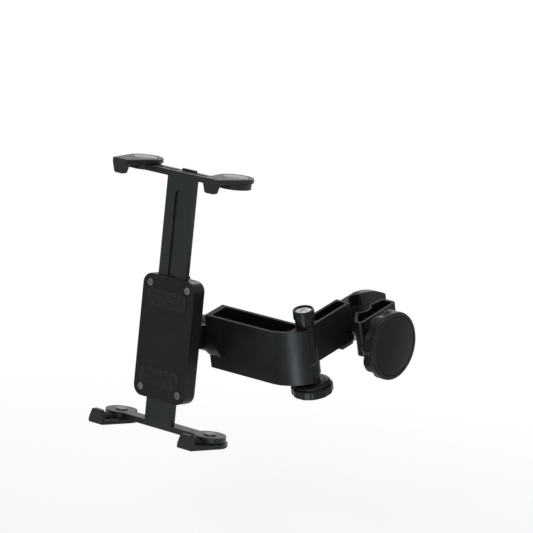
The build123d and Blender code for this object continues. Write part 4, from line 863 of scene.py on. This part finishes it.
def ribbed_claw_pad(node, up):
    """Claw lining with ribs across its plate and inside its hook; up is +1 above and -1 below the cradle."""
    low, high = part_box(node)
    away = UPRIGHT * up
    seat = high.z if up > 0 else low.z
    drop = high.z - low.z
    length = high.y - low.y
    width = high.x - low.x
    corner = Vector((low.x, low.y, seat))
    plate = CLAW_PAD_THICKNESS - CLAW_RIB_HEIGHT
    hook = HOOK_LINING - HOOK_RIB_HEIGHT
    outline = [(0, 0), (0, drop), (hook, drop), (hook, plate), (length, plate), (length, 0)]
    base = prism(node, outline, 0, width, axes(-FORWARD, -away, RIGHT, corner))
    middle = corner + RIGHT * width / 2
    plate_rib = rib("plate_rib", width, CLAW_RIB_WIDTH, CLAW_RIB_HEIGHT, axes(RIGHT, FORWARD * up, -away, Vector()))
    start = middle - away * plate - FORWARD * CLAW_RIB_START
    lined = repeated(base, plate_rib, CLAW_RIB_COUNT, start, -FORWARD * CLAW_RIB_STEP, FINISH["soft_pad"])
    hook_rib = rib("hook_rib", width, CLAW_RIB_WIDTH, HOOK_RIB_HEIGHT, axes(RIGHT, -UPRIGHT, -FORWARD, Vector()))
    start = middle - FORWARD * hook - away * (drop - HOOK_RIB_START)
    mesh = repeated(lined, hook_rib, HOOK_RIB_COUNT, start, away * HOOK_RIB_STEP, FINISH["soft_pad"])
    new_piece(f"{node}_ribbed", mesh, node)


threaded_stud()
scalloped_knob()
domed_disc("clamp_knob_cover", STUD_PLACE, COVER_DOME, COVER_EDGE, FINISH[SLOT_OF["clamp_knob_cover"]])
for corner, away in (("upper_left", 1), ("upper_right", 1), ("lower_left", -1), ("lower_right", -1)):
    low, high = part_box(f"claw_disc_{corner}")
    disc_place = axes(RIGHT, -FORWARD * away, UPRIGHT * away, (low + high) / 2)
    domed_disc(f"claw_disc_{corner}", disc_place, DISC_DOME, DISC_EDGE, POLISHED_BLACK)
fluted_hinge_knob()
cover_screws()
crossed_bolt()
ribbed_jaw_pad("fixed_jaw_pad", -1)
ribbed_jaw_pad("front_jaw_pad", 1)
for node in ("rest_pad_upper", "rest_pad_lower"):
    ribbed_rest_pad(node)
for hand in ("left", "right"):
    ribbed_claw_pad(f"claw_pad_upper_{hand}", 1)
    ribbed_claw_pad(f"claw_pad_lower_{hand}", -1)
for node in NODES:
    dress(node)


# Studio: white floor, even world light and soft lamps
def seen_directly(tree):
    """1 for rays from the camera, from mirrors and through clear parts, 0 for the others."""
    path = tree.nodes.new("ShaderNodeLightPath")
    first = combine(tree, "ADD", path.outputs["Is Camera Ray"], path.outputs["Is Glossy Ray"])
    return combine(tree, "ADD", first, path.outputs["Is Transmission Ray"])


def floor_white(near, far):
    """White floor that takes the object's shadow nearby, is plain white further out and clear from below."""
    material, tree, shader = new_material("floor_white")
    mottle = spread(tree, noise(tree, MOTTLE_SCALE, detail=2), 0, 1)
    tree.links.new(tint(tree, mottle, FLOOR_DARK, FLOOR_LIGHT), shader.inputs["Base Color"])
    shader.inputs["Roughness"].default_value = FLOOR_ROUGHNESS
    shader.inputs["Specular IOR Level"].default_value = 0.0
    distance = tree.nodes.new("ShaderNodeVectorMath")
    distance.operation = "LENGTH"
    tree.links.new(own_place(tree), distance.inputs[0])
    away = spread(tree, distance.outputs["Value"], 0, 1, floor=near, ceiling=far)
    glow = tree.nodes.new("ShaderNodeEmission")
    glow.inputs["Color"].default_value = WHITE
    glow.inputs["Strength"].default_value = 1.0
    mix = tree.nodes.new("ShaderNodeMixShader")
    tree.links.new(combine(tree, "MULTIPLY", away, seen_directly(tree)), mix.inputs["Fac"])
    tree.links.new(shader.outputs["BSDF"], mix.inputs[1])
    tree.links.new(glow.outputs["Emission"], mix.inputs[2])
    side = tree.nodes.new("ShaderNodeNewGeometry")
    clear = tree.nodes.new("ShaderNodeBsdfTransparent")
    from_below = tree.nodes.new("ShaderNodeMixShader")
    tree.links.new(side.outputs["Backfacing"], from_below.inputs["Fac"])
    tree.links.new(mix.outputs["Shader"], from_below.inputs[1])
    tree.links.new(clear.outputs["BSDF"], from_below.inputs[2])
    output = next(item for item in tree.nodes if item.bl_idname == "ShaderNodeOutputMaterial")
    tree.links.new(from_below.outputs["Shader"], output.inputs["Surface"])
    return material


def build_floor(drop, size, near, far):
    """Wide white floor below the object, centred under it."""
    mesh = bpy.data.meshes.new("studio_floor")
    half = size / 2
    mesh.from_pydata([(-half, -half, 0), (half, -half, 0), (half, half, 0), (-half, half, 0)], [], [(0, 1, 2, 3)])
    floor = bpy.data.objects.new("studio_floor", mesh)
    floor.location = (MIDDLE.x, MIDDLE.y, cad_box[0][2] - drop)
    bpy.context.scene.collection.objects.link(floor)
    floor.data.materials.append(floor_white(near, far))


def build_world(strength):
    """Even white surroundings, full white to the camera, to mirrors and through clear parts."""
    world = bpy.data.worlds.new("studio_world")
    bpy.context.scene.world = world
    world.use_nodes = True
    tree = world.node_tree
    tree.nodes.clear()
    output = tree.nodes.new("ShaderNodeOutputWorld")
    seen = tree.nodes.new("ShaderNodeBackground")
    seen.inputs["Color"].default_value = WHITE
    seen.inputs["Strength"].default_value = 1.0
    light = tree.nodes.new("ShaderNodeBackground")
    light.inputs["Color"].default_value = WORLD_TINT
    light.inputs["Strength"].default_value = strength
    mix = tree.nodes.new("ShaderNodeMixShader")
    tree.links.new(seen_directly(tree), mix.inputs["Fac"])
    tree.links.new(light.outputs["Background"], mix.inputs[1])
    tree.links.new(seen.outputs["Background"], mix.inputs[2])
    tree.links.new(mix.outputs["Shader"], output.inputs["Surface"])


def soft_lamp(name, place, target, width, height, watts, spread_angle=pi):
    """Soft rectangular lamp that faces the target, with its beam narrowed to an angle where one is given."""
    lamp = bpy.data.lights.new(name, "AREA")
    lamp.shape = "RECTANGLE"
    lamp.size = width
    lamp.size_y = height
    lamp.energy = watts
    lamp.spread = spread_angle
    holder = bpy.data.objects.new(name, lamp)
    holder.location = place
    holder.rotation_euler = (Vector(target) - Vector(place)).to_track_quat("-Z", "Y").to_euler()
    bpy.context.scene.collection.objects.link(holder)


build_floor(drop=0.12, size=16.0, near=0.3, far=0.75)
build_world(strength=0.52)
soft_lamp("top_lamp", (-0.2, -0.3, 1.9), MIDDLE, width=0.5, height=0.5, watts=14)
soft_lamp("key_lamp", (0.95, -2.1, 0.75), MIDDLE, width=0.5, height=0.9, watts=14)
soft_lamp("rim_lamp", (-0.8, 1.6, 1.2), MIDDLE, width=0.6, height=0.9, watts=10)
soft_lamp("low_lamp", (0.09, -0.2, -0.15), BEND, width=0.055, height=0.14, watts=0.048, spread_angle=radians(70))

# Camera at the photograph's viewing angle
camera = bpy.data.cameras.new("camera")
camera.sensor_width = SENSOR_WIDTH
camera.lens = LENS
camera.clip_end = CLIP_END
viewer = bpy.data.objects.new("camera", camera)
viewer.matrix_world = CAMERA_PLACE
bpy.context.scene.collection.objects.link(viewer)
bpy.context.scene.camera = viewer
bpy.context.scene.view_settings.view_transform = "Standard"
